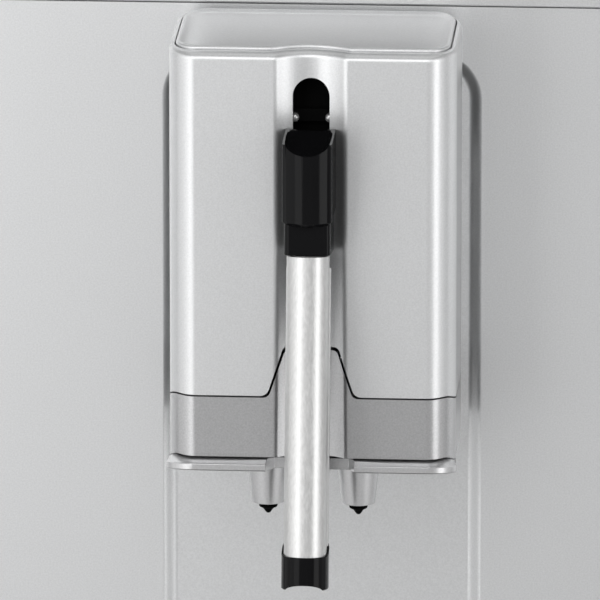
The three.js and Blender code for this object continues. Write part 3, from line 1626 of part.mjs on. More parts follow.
function addWaterWorks(machine) {
  const halfCoil = pumpCoilLength / 2;
  const halfPump = pumpLength / 2;
  const pump = joined(
    bar(pumpPlaceX, pumpPlaceZ, pumpPlaceY - halfPump, pumpPlaceY + halfPump, pumpRadius),
    block(
      pumpPlaceX - pumpCoilHalf,
      pumpPlaceX + pumpCoilHalf,
      pumpPlaceY - halfCoil,
      pumpPlaceY + halfCoil,
      pumpPlaceZ - pumpCoilHalf,
      pumpPlaceZ + pumpCoilHalf,
    ),
    bar(
      pumpPlaceX,
      pumpPlaceZ,
      pumpPlaceY + halfPump - overrun,
      pumpPlaceY + halfPump + pumpNoseLength,
      pumpNose,
      pumpNose,
      smallRound,
    ),
  );
  addPiece(machine, "water_pump", pump, "castAluminium");

  const left = heaterPlaceX - heaterWidth / 2;
  const right = heaterPlaceX + heaterWidth / 2;
  const front = heaterPlaceY - heaterDepth / 2;
  const back = heaterPlaceY + heaterDepth / 2;
  const bodyTop = heaterBottom + heaterHeight - heaterRib;
  let heater = joined(
    block(left, right, front, back, heaterBottom, bodyTop),
    bar(
      heaterPlaceX,
      heaterBottom + heaterHeight / 2,
      front - heaterPortLength,
      front + overrun,
      heaterPort,
      heaterPort,
      smallRound,
    ),
  );
  for (let i = 0; i < heaterRibs; i++) {
    const x = left + ((i + 1 / 2) * heaterWidth) / heaterRibs;
    heater = heater.add(
      block(x - heaterRib / 2, x + heaterRib / 2, front, back, bodyTop - overrun, bodyTop + heaterRib),
    );
  }
  addPiece(machine, "water_heater", heater, "castAluminium");

  // Hoses behind the panel: one each side of the slider, clear of its travel
  const sliderSide = sliderFlangeHalf + fit;
  const flangeY = panelY + channelDepth + panelWall + railThickness + 3 * fit + sliderFlange / 2;
  const hoseTop = headTopZ - sliderDrop - sliderHeight / 2;
  const portFront = heaterPlaceY - heaterDepth / 2 - heaterPortLength - play;
  const portZ = heaterBottom + heaterHeight / 2;
  const steamHose = hose(
    [
      [-sliderSide, flangeY, hoseTop],
      [-hoseSide, flangeY, hoseTop],
      [-hoseSide - hoseBend / 2, hosePlaceY, hoseTop - hoseBend],
      [-hoseSide - hoseBend / 2, hosePlaceY, portZ + 2 * hoseBend],
      [heaterPlaceX, portFront - hoseBend / 2, portZ],
      [heaterPlaceX, portFront, portZ],
    ],
    hoseRadius,
  );
  addPiece(machine, "steam_hose", steamHose, "whitePlastic");

  const brewPortZ = brewShelf + chassisWall + fit + 2 * brewPlate + hoseRadius;
  const brewFrontY = brewPlaceY - brewFront - play;
  const coffeeX = brewPlaceX - brewHalfWidth + brewPlate / 2;
  const coffeeHose = hose(
    [
      [sliderSide, flangeY, hoseTop],
      [hoseSide, flangeY, hoseTop],
      [hoseSide + hoseBend / 2, hosePlaceY, hoseTop - hoseBend],
      [hoseSide + hoseBend / 2, hosePlaceY, brewPortZ + 2 * hoseBend],
      [coffeeX, brewFrontY - hoseBend / 2, brewPortZ],
      [coffeeX, brewFrontY, brewPortZ],
    ],
    hoseRadius,
  );
  addPiece(machine, "coffee_hose", coffeeHose, "whitePlastic");
}

function addDrawer(machine) {
  const half = trayWidth / 2;
  const bottom = baseFloorTop + fit;
  const frontTop = bottom + trayFrontHeight;
  const rearTop = bottom + trayRearHeight;
  const frontBack = panelY - play;
  const frontOutline = (inset) =>
    roundedRect(-half + inset, half - inset, frontY + inset, frontBack - inset, trayCorner - inset);
  const tray = without(
    plate(frontOutline(0), bottom, frontTop),
    plate(frontOutline(trayWall), bottom + trayWall, frontTop + overrun),
    // Grip recess under the front edge
    block(
      -trayHandleHalf,
      trayHandleHalf,
      frontY - overrun,
      frontY + trayWall / 2,
      frontTop - 2 * trayHandleHeight,
      frontTop - trayHandleHeight,
    ),
  );
  addPiece(machine, "drip_tray", tray, "mattBlack");

  // Carrier behind the tray, which holds the box for the spent coffee
  const carrierFront = frontBack + fit;
  const carrier = without(
    block(trayRearLeft, trayRearRight, carrierFront, trayRearEnd, bottom, rearTop),
    block(
      trayRearLeft + trayWall,
      trayRearRight - trayWall,
      carrierFront + trayWall,
      trayRearEnd - trayWall,
      bottom + trayWall,
      rearTop + overrun,
    ),
  );
  addPiece(machine, "rear_carrier", carrier, "mattBlack");

  // Grid over the front of the tray, with slots in rows and a hole for the float's stem
  const gridBottom = frontTop + fit;
  const gridTop = gridBottom + gridHeight;
  const floatY = frontY + floatSetback;
  let grid = plate(frontOutline(0), gridBottom, gridTop);
  const rowDepth = (frontBack - frontY - 2 * gridRim - (gridSlotRows - 1) * gridRib) / gridSlotRows;
  const pitch = (trayWidth - 2 * trayCorner) / gridSlots;
  for (let i = 0; i < gridSlots; i++) {
    for (let row = 0; row < gridSlotRows; row++) {
      const x = -half + trayCorner + (i + 1 / 2) * pitch;
      const y = frontY + gridRim + row * (rowDepth + gridRib);
      const nearFloat = Math.abs(x - floatPlaceX) < gridSlotWidth && row === 0;
      const start = nearFloat ? floatY + 2 * floatStem : y;
      grid = grid.subtract(
        block(
          x - gridSlotWidth / 2,
          x + gridSlotWidth / 2,
          start,
          y + rowDepth,
          gridBottom - overrun,
          gridTop + overrun,
        ),
      );
    }
  }
  grid = grid.subtract(
    post(
      floatPlaceX,
      floatY,
      gridBottom - overrun,
      gridTop + overrun,
      floatStem + play,
      floatStem + play,
      smallRound,
    ),
  );
  addPiece(machine, "drip_grid", grid, "brushedSteel");

  const floatBottom = bottom + trayWall + fit;
  const float = joined(
    block(
      floatPlaceX - floatHalf,
      floatPlaceX + floatHalf,
      floatY - floatHalf,
      floatY + floatHalf,
      floatBottom,
      floatBottom + floatHeight,
    ),
    post(
      floatPlaceX,
      floatY,
      floatBottom + floatHeight - overrun,
      gridTop,
      floatStem,
      floatStem,
      smallRound,
    ),
  );
  addPiece(machine, "tray_float", float, "floatRed");

  // Box for the spent coffee, standing in the carrier
  const boxBottom = bottom + trayWall + fit;
  const left = trayRearLeft + trayWall + fit;
  const right = trayRearRight - trayWall - fit;
  const front = carrierFront + trayWall + fit;
  const back = trayRearEnd - trayWall - fit;
  const box = plate(
    roundedRect(left, right, front, back, groundsCorner),
    boxBottom,
    boxBottom + groundsHeight,
  ).subtract(
    plate(
      roundedRect(
        left + groundsWall,
        right - groundsWall,
        front + groundsWall,
        back - groundsWall,
        groundsCorner - groundsWall,
      ),
      boxBottom + groundsWall,
      boxBottom + groundsHeight + overrun,
    ),
  );
  addPiece(machine, "grounds_container", box, "greyPlastic");
}

const machine = new THREE.Group();
addBase(machine);
addFrontPanel(machine);
addOutlet(machine);
addFascia(machine);
addCovers(machine);
addTop(machine);
addChassis(machine);
addGrinder(machine);
addBrewUnit(machine);
addTank(machine);
addWaterWorks(machine);
addDrawer(machine);

export default machine;
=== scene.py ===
import json
import math

import bpy
from mathutils import Matrix, Vector

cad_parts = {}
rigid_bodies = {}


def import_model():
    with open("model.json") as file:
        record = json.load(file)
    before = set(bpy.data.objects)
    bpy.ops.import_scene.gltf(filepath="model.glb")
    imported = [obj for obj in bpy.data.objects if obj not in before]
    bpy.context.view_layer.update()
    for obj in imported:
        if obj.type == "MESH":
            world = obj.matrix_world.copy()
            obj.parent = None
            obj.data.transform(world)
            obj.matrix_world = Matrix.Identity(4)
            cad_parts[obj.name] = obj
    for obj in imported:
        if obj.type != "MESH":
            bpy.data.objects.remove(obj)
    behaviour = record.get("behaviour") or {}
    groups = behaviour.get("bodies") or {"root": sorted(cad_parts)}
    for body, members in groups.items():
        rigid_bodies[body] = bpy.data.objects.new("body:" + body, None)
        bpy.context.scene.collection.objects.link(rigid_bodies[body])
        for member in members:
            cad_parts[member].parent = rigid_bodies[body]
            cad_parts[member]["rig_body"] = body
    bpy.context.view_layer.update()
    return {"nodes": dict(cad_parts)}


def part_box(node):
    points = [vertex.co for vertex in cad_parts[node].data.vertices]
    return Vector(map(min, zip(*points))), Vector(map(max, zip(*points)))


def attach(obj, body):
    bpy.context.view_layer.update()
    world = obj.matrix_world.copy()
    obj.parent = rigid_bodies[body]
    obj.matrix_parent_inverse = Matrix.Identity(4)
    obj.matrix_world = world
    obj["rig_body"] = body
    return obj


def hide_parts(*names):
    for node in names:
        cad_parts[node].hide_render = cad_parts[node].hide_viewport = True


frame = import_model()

bl_info = {
    "name": "Bean to Cup Coffee Machine",
    "version": (1, 0, 0),
    "blender": (4, 5, 0),
    "location": "View3D > Sidebar > Coffee machine",
    "description": "Dresses the frame of a bean to cup coffee machine with detailed pieces and finishes",
    "category": "Add Mesh",
}

SMOOTH = 35  # edges sharper than this many degrees stay sharp

# Places read from the frame
COVER_LOW, COVER_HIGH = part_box("outlet_cover")
CARRIAGE_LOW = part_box("outlet_carriage")[0]
LIP_LOW, LIP_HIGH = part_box("outlet_lip")
PANEL_LOW, PANEL_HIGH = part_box("front_panel")
HANDLE_LOW, HANDLE_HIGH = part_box("frother_handle")
PINS_LOW, PINS_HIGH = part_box("keyhole_pins")
SLIDER_LOW, SLIDER_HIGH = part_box("outlet_slider")
HEAD_FRONT = COVER_LOW.y
HEAD_TOP = COVER_HIGH.z
HEAD_HALF = COVER_HIGH.x
HEAD_DEPTH = COVER_HIGH.y - COVER_LOW.y
SEAM = COVER_LOW.z

# Sizes that more than one piece keeps to
THIN_EDGE, FINE_EDGE, SMALL_EDGE = 0.0002, 0.0003, 0.0004
PLAIN_EDGE, LID_EDGE, BROAD_EDGE = 0.0005, 0.0007, 0.0008
HEAD_TRAVEL = 0.075  # how far the outlet head slides down
CORNER_END = 0.012  # from the head's front, where the seam's droop is complete
LIP_DROOP = 1.2  # droop of the carriage's foot and the lip, as a share of the seam's
WAND_REACH = 0.01035  # of the wand's axis at its top, before the head's front
WAND_DROP = 0.0568  # of the wand's top below the head's top
WAND_LENGTH = 0.088


# Sizes and colours that a user would change

def length(name, description, default, low, high):
    return bpy.props.FloatProperty(
        name=name, description=description, default=default, min=low, max=high, unit="LENGTH")


class MachineSizes(bpy.types.PropertyGroup):
    front_corner: length("Front corner", "Width of the head's front corners", 0.0083, 0.004, 0.02)
    front_corner_depth: length("Front corner depth", "Depth of the head's front corners", 0.0128, 0.004, 0.02)
    rear_corner: length("Rear corner", "Width of the head's rear corners", 0.009, 0.003, 0.015)
    rear_corner_depth: length("Rear corner depth", "Depth of the head's rear corners", 0.013, 0.003, 0.02)
    flute_width: length("Flute width", "Width of the hollow down the head", 0.022, 0.01, 0.03)
    flute_depth: length("Flute depth", "Depth of the hollow down the head", 0.0038, 0.002, 0.006)
    flute_shoulder: length("Flute shoulder", "Radius of the flute's soft edges", 0.003, 0.0004, 0.006)
    shell_wall: length("Shell wall", "Wall of the outlet cover and its carriage", 0.0022, 0.001, 0.004)
    rim_side: length("Rim at the sides", "Width of the cover's rim beside the lid", 0.0015, 0.001, 0.004)
    rim_front: length("Rim at the front", "Width of the cover's rim before the lid", 0.0044, 0.002, 0.008)
    lid_gap: length("Lid gap", "Gap round the lid of the outlet head", 0.0004, 0.0002, 0.001)
    seam_gap: length("Seam gap", "Gap between the outlet cover and its carriage", 0.0005, 0.0002, 0.0015)
    seam_droop: length("Seam droop", "How far the seam falls round the head's corners", 0.0021, 0, 0.004)
    tongue_height: length("Tongue height", "Rise of the carriage's tongue in the flute", 0.014, 0.005, 0.02)
    channel_slope: length("Channel slope", "Run of the channel's soft wall", 0.0042, 0.001, 0.006)
    channel_sink: length("Channel depth", "Depth of the panel's slide channel", 0.0028, 0.001, 0.005)
    scoop_depth: length("Thumb scoop", "Depth of the scoop in the frother handle", 0.003, 0.0005, 0.004)
    wand_tilt: bpy.props.FloatProperty(
        name="Wand tilt", description="Angle of the frother wand, forward at its foot",
        default=math.radians(9), min=0, max=math.radians(15), subtype="ANGLE")
    edge: length("Edge radius", "Radius of the fine edges on plain pieces", 0.0006, 0.0001, 0.002)


def shade(name, description, red, green, blue):
    return bpy.props.FloatVectorProperty(
        name=name, description=description, default=(red, green, blue), min=0, max=1, size=3, subtype="COLOR")


class MachineFinishes(bpy.types.PropertyGroup):
    lacquer: shade("Silver lacquer", "Colour of the panel, the covers and the head", 0.66, 0.665, 0.67)
    dark_silver: shade("Dark silver", "Colour of the carriage and the top cover", 0.45, 0.45, 0.455)
    bright_silver: shade("Bright silver", "Colour of the lip and the spouts", 0.56, 0.56, 0.565)
    gloss_black: shade("Gloss black", "Colour of the frother handle and the lids", 0.004, 0.004, 0.0045)
    matt_black: shade("Matt black", "Colour of the base, the tray and the rear cover", 0.022, 0.022, 0.024)
    steel: shade("Brushed steel", "Colour of the wand's sleeve, the knob and the grid", 0.62, 0.62, 0.615)
    grey: shade("Grey plastic", "Colour of the inner plastic pieces", 0.20, 0.205, 0.21)
    white: shade("White plastic", "Colour of the brewing pieces and the hoses", 0.72, 0.72, 0.69)
    grain_size: length("Grain size", "Size of the metal flakes in the lacquer", 0.0005, 0.0002, 0.002)


def sizes():
    return bpy.context.scene.coffee_machine_sizes


def finishes():
    return bpy.context.scene.coffee_machine_finishes


# Modelling helpers

def only(obj):
    """Selects one object and makes it active."""
    bpy.ops.object.select_all(action="DESELECT")
    obj.select_set(True)
    bpy.context.view_layer.objects.active = obj


def place_ring(mesh, start, ring):
    for index, point in enumerate(ring):
        mesh.vertices[start + index].co = point


def lofted(name, rings, loop=False):
    """A closed body through rings of points. With loop, the last ring joins the first one."""
    count = len(rings[0])
    bpy.ops.object.select_all(action="DESELECT")
    bpy.ops.mesh.primitive_circle_add(vertices=count, radius=1, fill_type="NOTHING" if loop else "NGON")
    body = bpy.context.object
    body.name = body.data.name = name
    place_ring(body.data, 0, rings[0])
    for step, ring in enumerate(rings[1:] + ([rings[0]] if loop else []), 1):
        bpy.ops.object.mode_set(mode="EDIT")
        bpy.ops.mesh.extrude_region_move(TRANSFORM_OT_translate={"value": (0, 0, 0)})
        bpy.ops.object.mode_set(mode="OBJECT")
        place_ring(body.data, step * count, ring)
    tidy_normals(body)
    return body


def tidy_normals(body):
    only(body)
    bpy.ops.object.mode_set(mode="EDIT")
    bpy.ops.mesh.select_all(action="SELECT")
    bpy.ops.mesh.remove_doubles(threshold=0.000001)
    bpy.ops.mesh.normals_make_consistent(inside=False)
    bpy.ops.object.mode_set(mode="OBJECT")


def turned_about(axis):
    """How a drawing's u and v and the height w map to the machine's axes."""
    return {
        "X": lambda u, v, w: Vector((w, u, v)),
        "Y": lambda u, v, w: Vector((u, w, v)),
        "Z": lambda u, v, w: Vector((u, v, w)),
    }[axis]


def prism(name, outline, axis, low, high):
    """An outline drawn across an axis, carried from one place on the axis to another."""
    put = turned_about(axis)
    return lofted(name, [[put(u, v, w) for u, v in outline] for w in (low, high)])


def turned(name, centre, profile, axis="Z", sides=48, loop=False):
    """A round body about an axis. The profile lists radius and height from the centre."""
    put = turned_about(axis)
    rings = []
    for radius, height in profile:
        ring = []
        for step in range(sides):
            angle = 2 * math.pi * step / sides
            ring.append(Vector(centre) + put(radius * math.cos(angle), radius * math.sin(angle), height))
        rings.append(ring)
    return lofted(name, rings, loop)


def box(name, low, high):
    """A block between two corners, made from the cube primitive."""
    low, high = Vector(low), Vector(high)
    bpy.ops.object.select_all(action="DESELECT")
    bpy.ops.mesh.primitive_cube_add(size=1, location=(low + high) / 2, scale=high - low)
    body = bpy.context.object
    body.name = body.data.name = name
    bpy.ops.object.transform_apply(location=True, rotation=True, scale=True)
    return body


def combine(body, other, how="UNION"):
    """Cuts another body away, or joins it, and removes it."""
    only(body)
    step = body.modifiers.new("combine", "BOOLEAN")
    step.operation = how
    step.solver = "EXACT"
    step.object = other
    bpy.ops.object.modifier_apply(modifier=step.name)
    bpy.data.objects.remove(other, do_unlink=True)
    return body


def cut(body, *others):
    for other in others:
        combine(body, other, "DIFFERENCE")
    return body


def soften(body, width=None, segments=2, angle=SMOOTH):
    """Rounds the sharp edges, if the width isn't 0, shades the rest smooth and keeps large faces flat."""
    only(body)
    if width is None:
        width = sizes().edge
    if width:
        step = body.modifiers.new("edges", "BEVEL")
        step.width = width
        step.segments = segments
        step.limit_method = "ANGLE"
        step.angle_limit = math.radians(angle)
        step.use_clamp_overlap = True
        bpy.ops.object.modifier_apply(modifier=step.name)
    bpy.ops.object.shade_smooth_by_angle(angle=math.radians(SMOOTH))
    step = body.modifiers.new("faces", "WEIGHTED_NORMAL")
    step.keep_sharp = True
    bpy.ops.object.modifier_apply(modifier=step.name)
    return body


def joined(body, *others):
    """Makes several bodies one object."""
    only(body)
    for other in others:
        other.select_set(True)
    bpy.ops.object.join()
    return body


def dressed(piece, body, finish):
    """Gives a piece its finish, on the body that it moves with."""
    piece.data.materials.clear()
    piece.data.materials.append(finish)
    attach(piece, body)
    return piece


def finished(piece, node_name, finish):
    """Gives a piece its finish and lets it stand for a node, on the node's own body."""
    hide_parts(node_name)
    return dressed(piece, frame["nodes"][node_name]["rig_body"], finish)


def copied(node_name):
    """A copy of a node with its loose triangles merged and its flat faces joined."""
    node = frame["nodes"][node_name]
    mesh = node.data.copy()
    body = bpy.data.objects.new(node_name + "_piece", mesh)
    mesh.name = body.name
    bpy.context.scene.collection.objects.link(body)
    mesh.materials.clear()
    only(body)
    bpy.ops.object.mode_set(mode="EDIT")
    bpy.ops.mesh.select_all(action="SELECT")
    bpy.ops.mesh.customdata_custom_splitnormals_clear()
    bpy.ops.mesh.remove_doubles(threshold=0.00001)
    bpy.ops.mesh.dissolve_limited(angle_limit=math.radians(1))
    bpy.ops.object.mode_set(mode="OBJECT")
    return body


def refined(node_name, finish, width=None, segments=2):
    """A node's own shape with rounded edges and a new finish."""
    return finished(soften(copied(node_name), width, segments), node_name, finish)


def middle(low, high, **given):
    """The middle of a box, with a given coordinate in place of the middle's own."""
    centre = (low + high) / 2
    for axis, value in given.items():
        setattr(centre, axis, value)
    return centre


def grooved(body, centre, axis, ring, count, width, start, tall):
    """Cuts even round grooves into a knob. Ring is the radius that they lie on."""
    put = turned_about(axis)
    for step in range(count):
        angle = 2 * math.pi * step / count
        place = centre + put(ring * math.cos(angle), ring * math.sin(angle), start)
        cut(body, turned("groove", place, [(width, 0), (width, tall)], axis, 10))
    return body


def arc(centre_u, centre_v, radius_u, radius_v, start, end, steps):
    """Points on an arc, in degrees, with both ends."""
    points = []
    for step in range(steps + 1):
        angle = math.radians(start + (end - start) * step / steps)
        points.append((centre_u + radius_u * math.cos(angle), centre_v + radius_v * math.sin(angle)))
    return points


def rounded(u0, u1, v0, v1, radius, steps=8):
    """A rectangle with rounded corners, with the same number of points for any radius."""
    return (
        arc(u1 - radius, v0 + radius, radius, radius, -90, 0, steps)
        + arc(u1 - radius, v1 - radius, radius, radius, 0, 90, steps)
        + arc(u0 + radius, v1 - radius, radius, radius, 90, 180, steps)
        + arc(u0 + radius, v0 + radius, radius, radius, 180, 270, steps)
    )


def rounded_path(points, radii, steps=5):
    """A closed outline through the points, with an arc of the given radius at each."""
    made = []
    count = len(points)
    for index, point in enumerate(points):
        radius = radii[index]
        here = Vector(point)
        if not radius:
            made.append(tuple(here))
            continue
        back = (Vector(points[index - 1]) - here).normalized()
        ahead = (Vector(points[(index + 1) % count]) - here).normalized()
        half = math.acos(max(-1, min(1, back.dot(ahead)))) / 2
        reach = radius / math.tan(half)
        centre = here + (back + ahead).normalized() * radius / math.sin(half)
        first = here + back * reach - centre
        turn = first.angle_signed(here + ahead * reach - centre)
        for step in range(steps + 1):
            angle = -turn * step / steps
            made.append((
                centre.x + first.x * math.cos(angle) - first.y * math.sin(angle),
                centre.y + first.x * math.sin(angle) + first.y * math.cos(angle),
            ))
    return made


# Shader node groups and finishes

def new_group(name, inputs, outputs):
    """A shader node group with its sockets, and its input and output nodes."""
    group = bpy.data.node_groups.new(name, "ShaderNodeTree")
    for label, value in inputs:
        socket = group.interface.new_socket(name=label, in_out="INPUT", socket_type="NodeSocketFloat")
        socket.default_value = value
    for label in outputs:
        group.interface.new_socket(name=label, in_out="OUTPUT", socket_type="NodeSocketFloat")
    return group, group.nodes.new("NodeGroupInput"), group.nodes.new("NodeGroupOutput")


def add_noise(group, vector, scale, detail, roughness=0.5):
    noise = group.nodes.new("ShaderNodeTexNoise")
    noise.inputs["Detail"].default_value = detail
    noise.inputs["Roughness"].default_value = roughness
    group.links.new(vector, noise.inputs["Vector"])
    group.links.new(scale, noise.inputs["Scale"])
    return noise.outputs["Fac"]


def blend_math(group, how, first, second):
    node = group.nodes.new("ShaderNodeMath")
    node.operation = how
    for socket, value in zip(node.inputs, (first, second)):
        if isinstance(value, (int, float)):
            socket.default_value = value
        else:
            group.links.new(value, socket)
    return node.outputs[0]


def centred(group, value, amount):
    """Turns a value from 0 to 1 into one about 0, times an amount."""
    return blend_math(group, "MULTIPLY", blend_math(group, "SUBTRACT", value, 0.5), amount)


def grain_group():
    """Fine flakes with soft clouds: for lacquer, cast metal and moulded plastic."""
    name = "fine_grain"
    if name in bpy.data.node_groups:
        return bpy.data.node_groups[name]
    group, given, result = new_group(
        name, [("Scale", 2000), ("Fleck", 0.1), ("Cloud", 0.05), ("Cloud Scale", 12)], ["Tone", "Relief"])
    place = group.nodes.new("ShaderNodeTexCoord").outputs["Object"]
    fleck = add_noise(group, place, given.outputs["Scale"], 2, 0.6)
    cloud = add_noise(group, place, given.outputs["Cloud Scale"], 3)
    tone = blend_math(
        group, "ADD",
        centred(group, fleck, given.outputs["Fleck"]),
        centred(group, cloud, given.outputs["Cloud"]),
    )
    group.links.new(tone, result.inputs["Tone"])
    group.links.new(fleck, result.inputs["Relief"])
    return group


def brushed_group():
    """Long fine scratches along Z with slow bands: for brushed steel."""
    name = "brushed_streaks"
    if name in bpy.data.node_groups:
        return bpy.data.node_groups[name]
    group, given, result = new_group(
        name, [("Scale", 1800), ("Stretch", 0.02), ("Streak", 0.1), ("Cloud", 0.05)], ["Tone", "Relief"])
    place = group.nodes.new("ShaderNodeTexCoord").outputs["Object"]
    parts = group.nodes.new("ShaderNodeSeparateXYZ")
    group.links.new(place, parts.inputs[0])
    along = blend_math(group, "MULTIPLY", parts.outputs["Z"], given.outputs["Stretch"])
    joined = group.nodes.new("ShaderNodeCombineXYZ")
    group.links.new(parts.outputs["X"], joined.inputs["X"])
    group.links.new(parts.outputs["Y"], joined.inputs["Y"])
    group.links.new(along, joined.inputs["Z"])
    streak = add_noise(group, joined.outputs[0], given.outputs["Scale"], 3, 0.6)
    slow = blend_math(group, "MULTIPLY", given.outputs["Scale"], 0.12)
    cloud = add_noise(group, joined.outputs[0], slow, 2)
    tone = blend_math(
        group, "ADD",
        centred(group, streak, given.outputs["Streak"]),
        centred(group, cloud, given.outputs["Cloud"]),
    )
    group.links.new(tone, result.inputs["Tone"])
    group.links.new(streak, result.inputs["Relief"])
    return group


def dust_group():
    """Light dust that lies on faces that look up, in soft patches."""
    name = "light_dust"
    if name in bpy.data.node_groups:
        return bpy.data.node_groups[name]
    group, given, result = new_group(name, [("Amount", 0.1), ("Scale", 60)], ["Mask"])
    place = group.nodes.new("ShaderNodeTexCoord").outputs["Object"]
    patches = add_noise(group, place, given.outputs["Scale"], 4, 0.65)
    facing = group.nodes.new("ShaderNodeSeparateXYZ")
    group.links.new(group.nodes.new("ShaderNodeNewGeometry").outputs["Normal"], facing.inputs[0])
    upward = blend_math(group, "MAXIMUM", facing.outputs["Z"], 0.15)
    settled = blend_math(group, "MULTIPLY", patches, upward)
    mask = blend_math(group, "MULTIPLY", settled, given.outputs["Amount"])
    group.links.new(mask, result.inputs["Mask"])
    return group


def placed_group(tree, group, **values):
    node = tree.nodes.new("ShaderNodeGroup")
    node.node_tree = group
    for label, value in values.items():
        node.inputs[label.replace("_", " ")].default_value = value
    return node


def finish_shader(name, metal=0.0, **constants):
    made = bpy.data.materials.new(name)
    made.use_nodes = True
    tree = made.node_tree
    shader = tree.nodes["Principled BSDF"]
    shader.inputs["Metallic"].default_value = metal
    for label, value in constants.items():
        shader.inputs[label.replace("_", " ")].default_value = value
    return made, tree, shader


def colour_from(tree, shader, colour, tone, dust=None, dust_colour=(0.5, 0.49, 0.47)):
    """Base colour: the plain colour, made lighter and darker by a tone, with dust over it."""
    mix = tree.nodes.new("ShaderNodeVectorMath")
    mix.operation = "SCALE"
    mix.inputs[0].default_value = colour
    tree.links.new(blend_math(tree, "ADD", tone, 1), mix.inputs["Scale"])
    result = mix.outputs[0]
    if dust is not None:
        layer = tree.nodes.new("ShaderNodeMix")
        layer.data_type = "RGBA"
        tree.links.new(dust, layer.inputs["Factor"])
        tree.links.new(result, layer.inputs[6])
        layer.inputs[7].default_value = (*dust_colour, 1)
        result = layer.outputs[2]
    tree.links.new(result, shader.inputs["Base Color"])


def rough_from(tree, shader, rough, tone, amount):
    value = blend_math(tree, "ADD", blend_math(tree, "MULTIPLY", tone, amount), rough)
    tree.links.new(value, shader.inputs["Roughness"])


def relief_from(tree, shader, height, strength, distance=0.0001):
    bump = tree.nodes.new("ShaderNodeBump")
    bump.inputs["Strength"].default_value = strength
    bump.inputs["Distance"].default_value = distance
    tree.links.new(height, bump.inputs["Height"])
    tree.links.new(bump.outputs["Normal"], shader.inputs["Normal"])


def grained(name, colour, rough, metal=0.0, size=0.0005, fleck=0.15, cloud=0.05, spread=0.3, relief=0.1,
            dust=0.0, **constants):
    """A finish with fine grain: lacquer, cast metal or moulded plastic."""
    made = bpy.data.materials.get(name)
    if made:
        return made
    made, tree, shader = finish_shader(name, metal, **constants)
    grain = placed_group(tree, grain_group(), Scale=1 / size, Fleck=fleck, Cloud=cloud)
    mask = placed_group(tree, dust_group(), Amount=dust).outputs["Mask"] if dust else None
    colour_from(tree, shader, tuple(colour), grain.outputs["Tone"], mask)
    rough_from(tree, shader, rough, grain.outputs["Tone"], spread)
    relief_from(tree, shader, grain.outputs["Relief"], relief)
    return made


def brushed(name, colour, rough, metal=1.0, stretch=0.02, streak=0.2, cloud=0.08, spread=0.5, relief=0.08,
            **constants):
    """A finish with long fine scratches: brushed steel."""
    made = bpy.data.materials.get(name)
    if made:
        return made
    made, tree, shader = finish_shader(name, metal, **constants)
    lines = placed_group(tree, brushed_group(), Stretch=stretch, Streak=streak, Cloud=cloud)
    colour_from(tree, shader, tuple(colour), lines.outputs["Tone"])
    rough_from(tree, shader, rough, lines.outputs["Tone"], spread)
    relief_from(tree, shader, lines.outputs["Relief"], relief)
    return made


def lacquered(name, colour, rough, coat_rough, fleck, cloud, relief):
    """Metal lacquer: fine flakes under a clear coat."""
    return grained(name, colour, rough, metal=1, size=finishes().grain_size, fleck=fleck, cloud=cloud,
                   spread=0.2, relief=relief, Coat_Weight=1, Coat_Roughness=coat_rough)


def silver_lacquer():
    return lacquered("silver_lacquer_finish", finishes().lacquer, 0.48, 0.18, fleck=0.3, cloud=0.03,
                     relief=0.06)


def dark_silver():
    return lacquered("dark_silver_lacquer_finish", finishes().dark_silver, 0.38, 0.14, fleck=0.5,
                     cloud=0.04, relief=0.08)


def bright_silver():
    return lacquered("bright_silver_lacquer_finish", finishes().bright_silver, 0.34, 0.12, fleck=0.3,
                     cloud=0.04, relief=0.05)


def pin_silver():
    return grained("pin_silver_finish", (0.5, 0.5, 0.5), 0.25, metal=0.6, size=0.0006, fleck=0.1, cloud=0.1,
                   spread=0.2, relief=0.05)


def gloss_black():
    return grained("gloss_black_plastic_finish", finishes().gloss_black, 0.14, size=0.0015, fleck=0.1,
                   cloud=0.2, spread=0.1, relief=0.01, Specular_IOR_Level=0.1)


def matt_black():
    return grained("matt_black_plastic_finish", finishes().matt_black, 0.48, size=0.0006, fleck=0.3,
                   cloud=0.2, relief=0.25, dust=0.12)


# Near-perfect black with almost no sheen: the spouts' real black tips, and painted shade behind the keyhole
def black_tips_and_painted_shade():
    return grained("deep_black_plastic_finish", (0.002, 0.002, 0.002), 0.8, size=0.0008, fleck=0.2, cloud=0.2,
                   spread=0.1, relief=0.05, Specular_IOR_Level=0.05)


def steel():
    return brushed("brushed_steel_finish", finishes().steel, 0.42, stretch=0.25, streak=0.5, cloud=0.05,
                   relief=0.15)


def grey_plastic():
    return grained("grey_plastic_finish", finishes().grey, 0.5, size=0.0006, fleck=0.12, cloud=0.1,
                   relief=0.2, dust=0.1)


def white_plastic():
    return grained("white_plastic_finish", finishes().white, 0.42, size=0.0008, fleck=0.06, cloud=0.08,
                   spread=0.2, relief=0.12)


def cast_aluminium():
    return grained("cast_aluminium_finish", (0.52, 0.53, 0.54), 0.42, metal=0.95, size=0.0009, fleck=0.35,
                   cloud=0.15, spread=0.5, relief=0.4)


def smoked_plastic():
    return grained("smoked_plastic_finish", (0.30, 0.32, 0.34), 0.08, size=0.002, fleck=0.04, cloud=0.1,
                   spread=0.1, relief=0.01, Transmission_Weight=0.85, IOR=1.49)


def display_glass():
    return grained("display_glass_finish", (0.006, 0.007, 0.009), 0.06, size=0.002, fleck=0.1, cloud=0.3,
                   spread=0.1, relief=0.005, Coat_Weight=0.8, Coat_Roughness=0.03)


def circuit_green():
    return grained("circuit_board_green_finish", (0.012, 0.11, 0.05), 0.4, size=0.0012, fleck=0.5, cloud=0.3,
                   spread=0.4, relief=0.2)


def ceramic():
    return grained("ceramic_finish", (0.68, 0.66, 0.61), 0.34, size=0.0009, fleck=0.08, cloud=0.08,
                   relief=0.15)


def float_red():
    return grained("float_red_plastic_finish", (0.50, 0.025, 0.02), 0.38, size=0.0007, fleck=0.12, cloud=0.1,
                   relief=0.15)


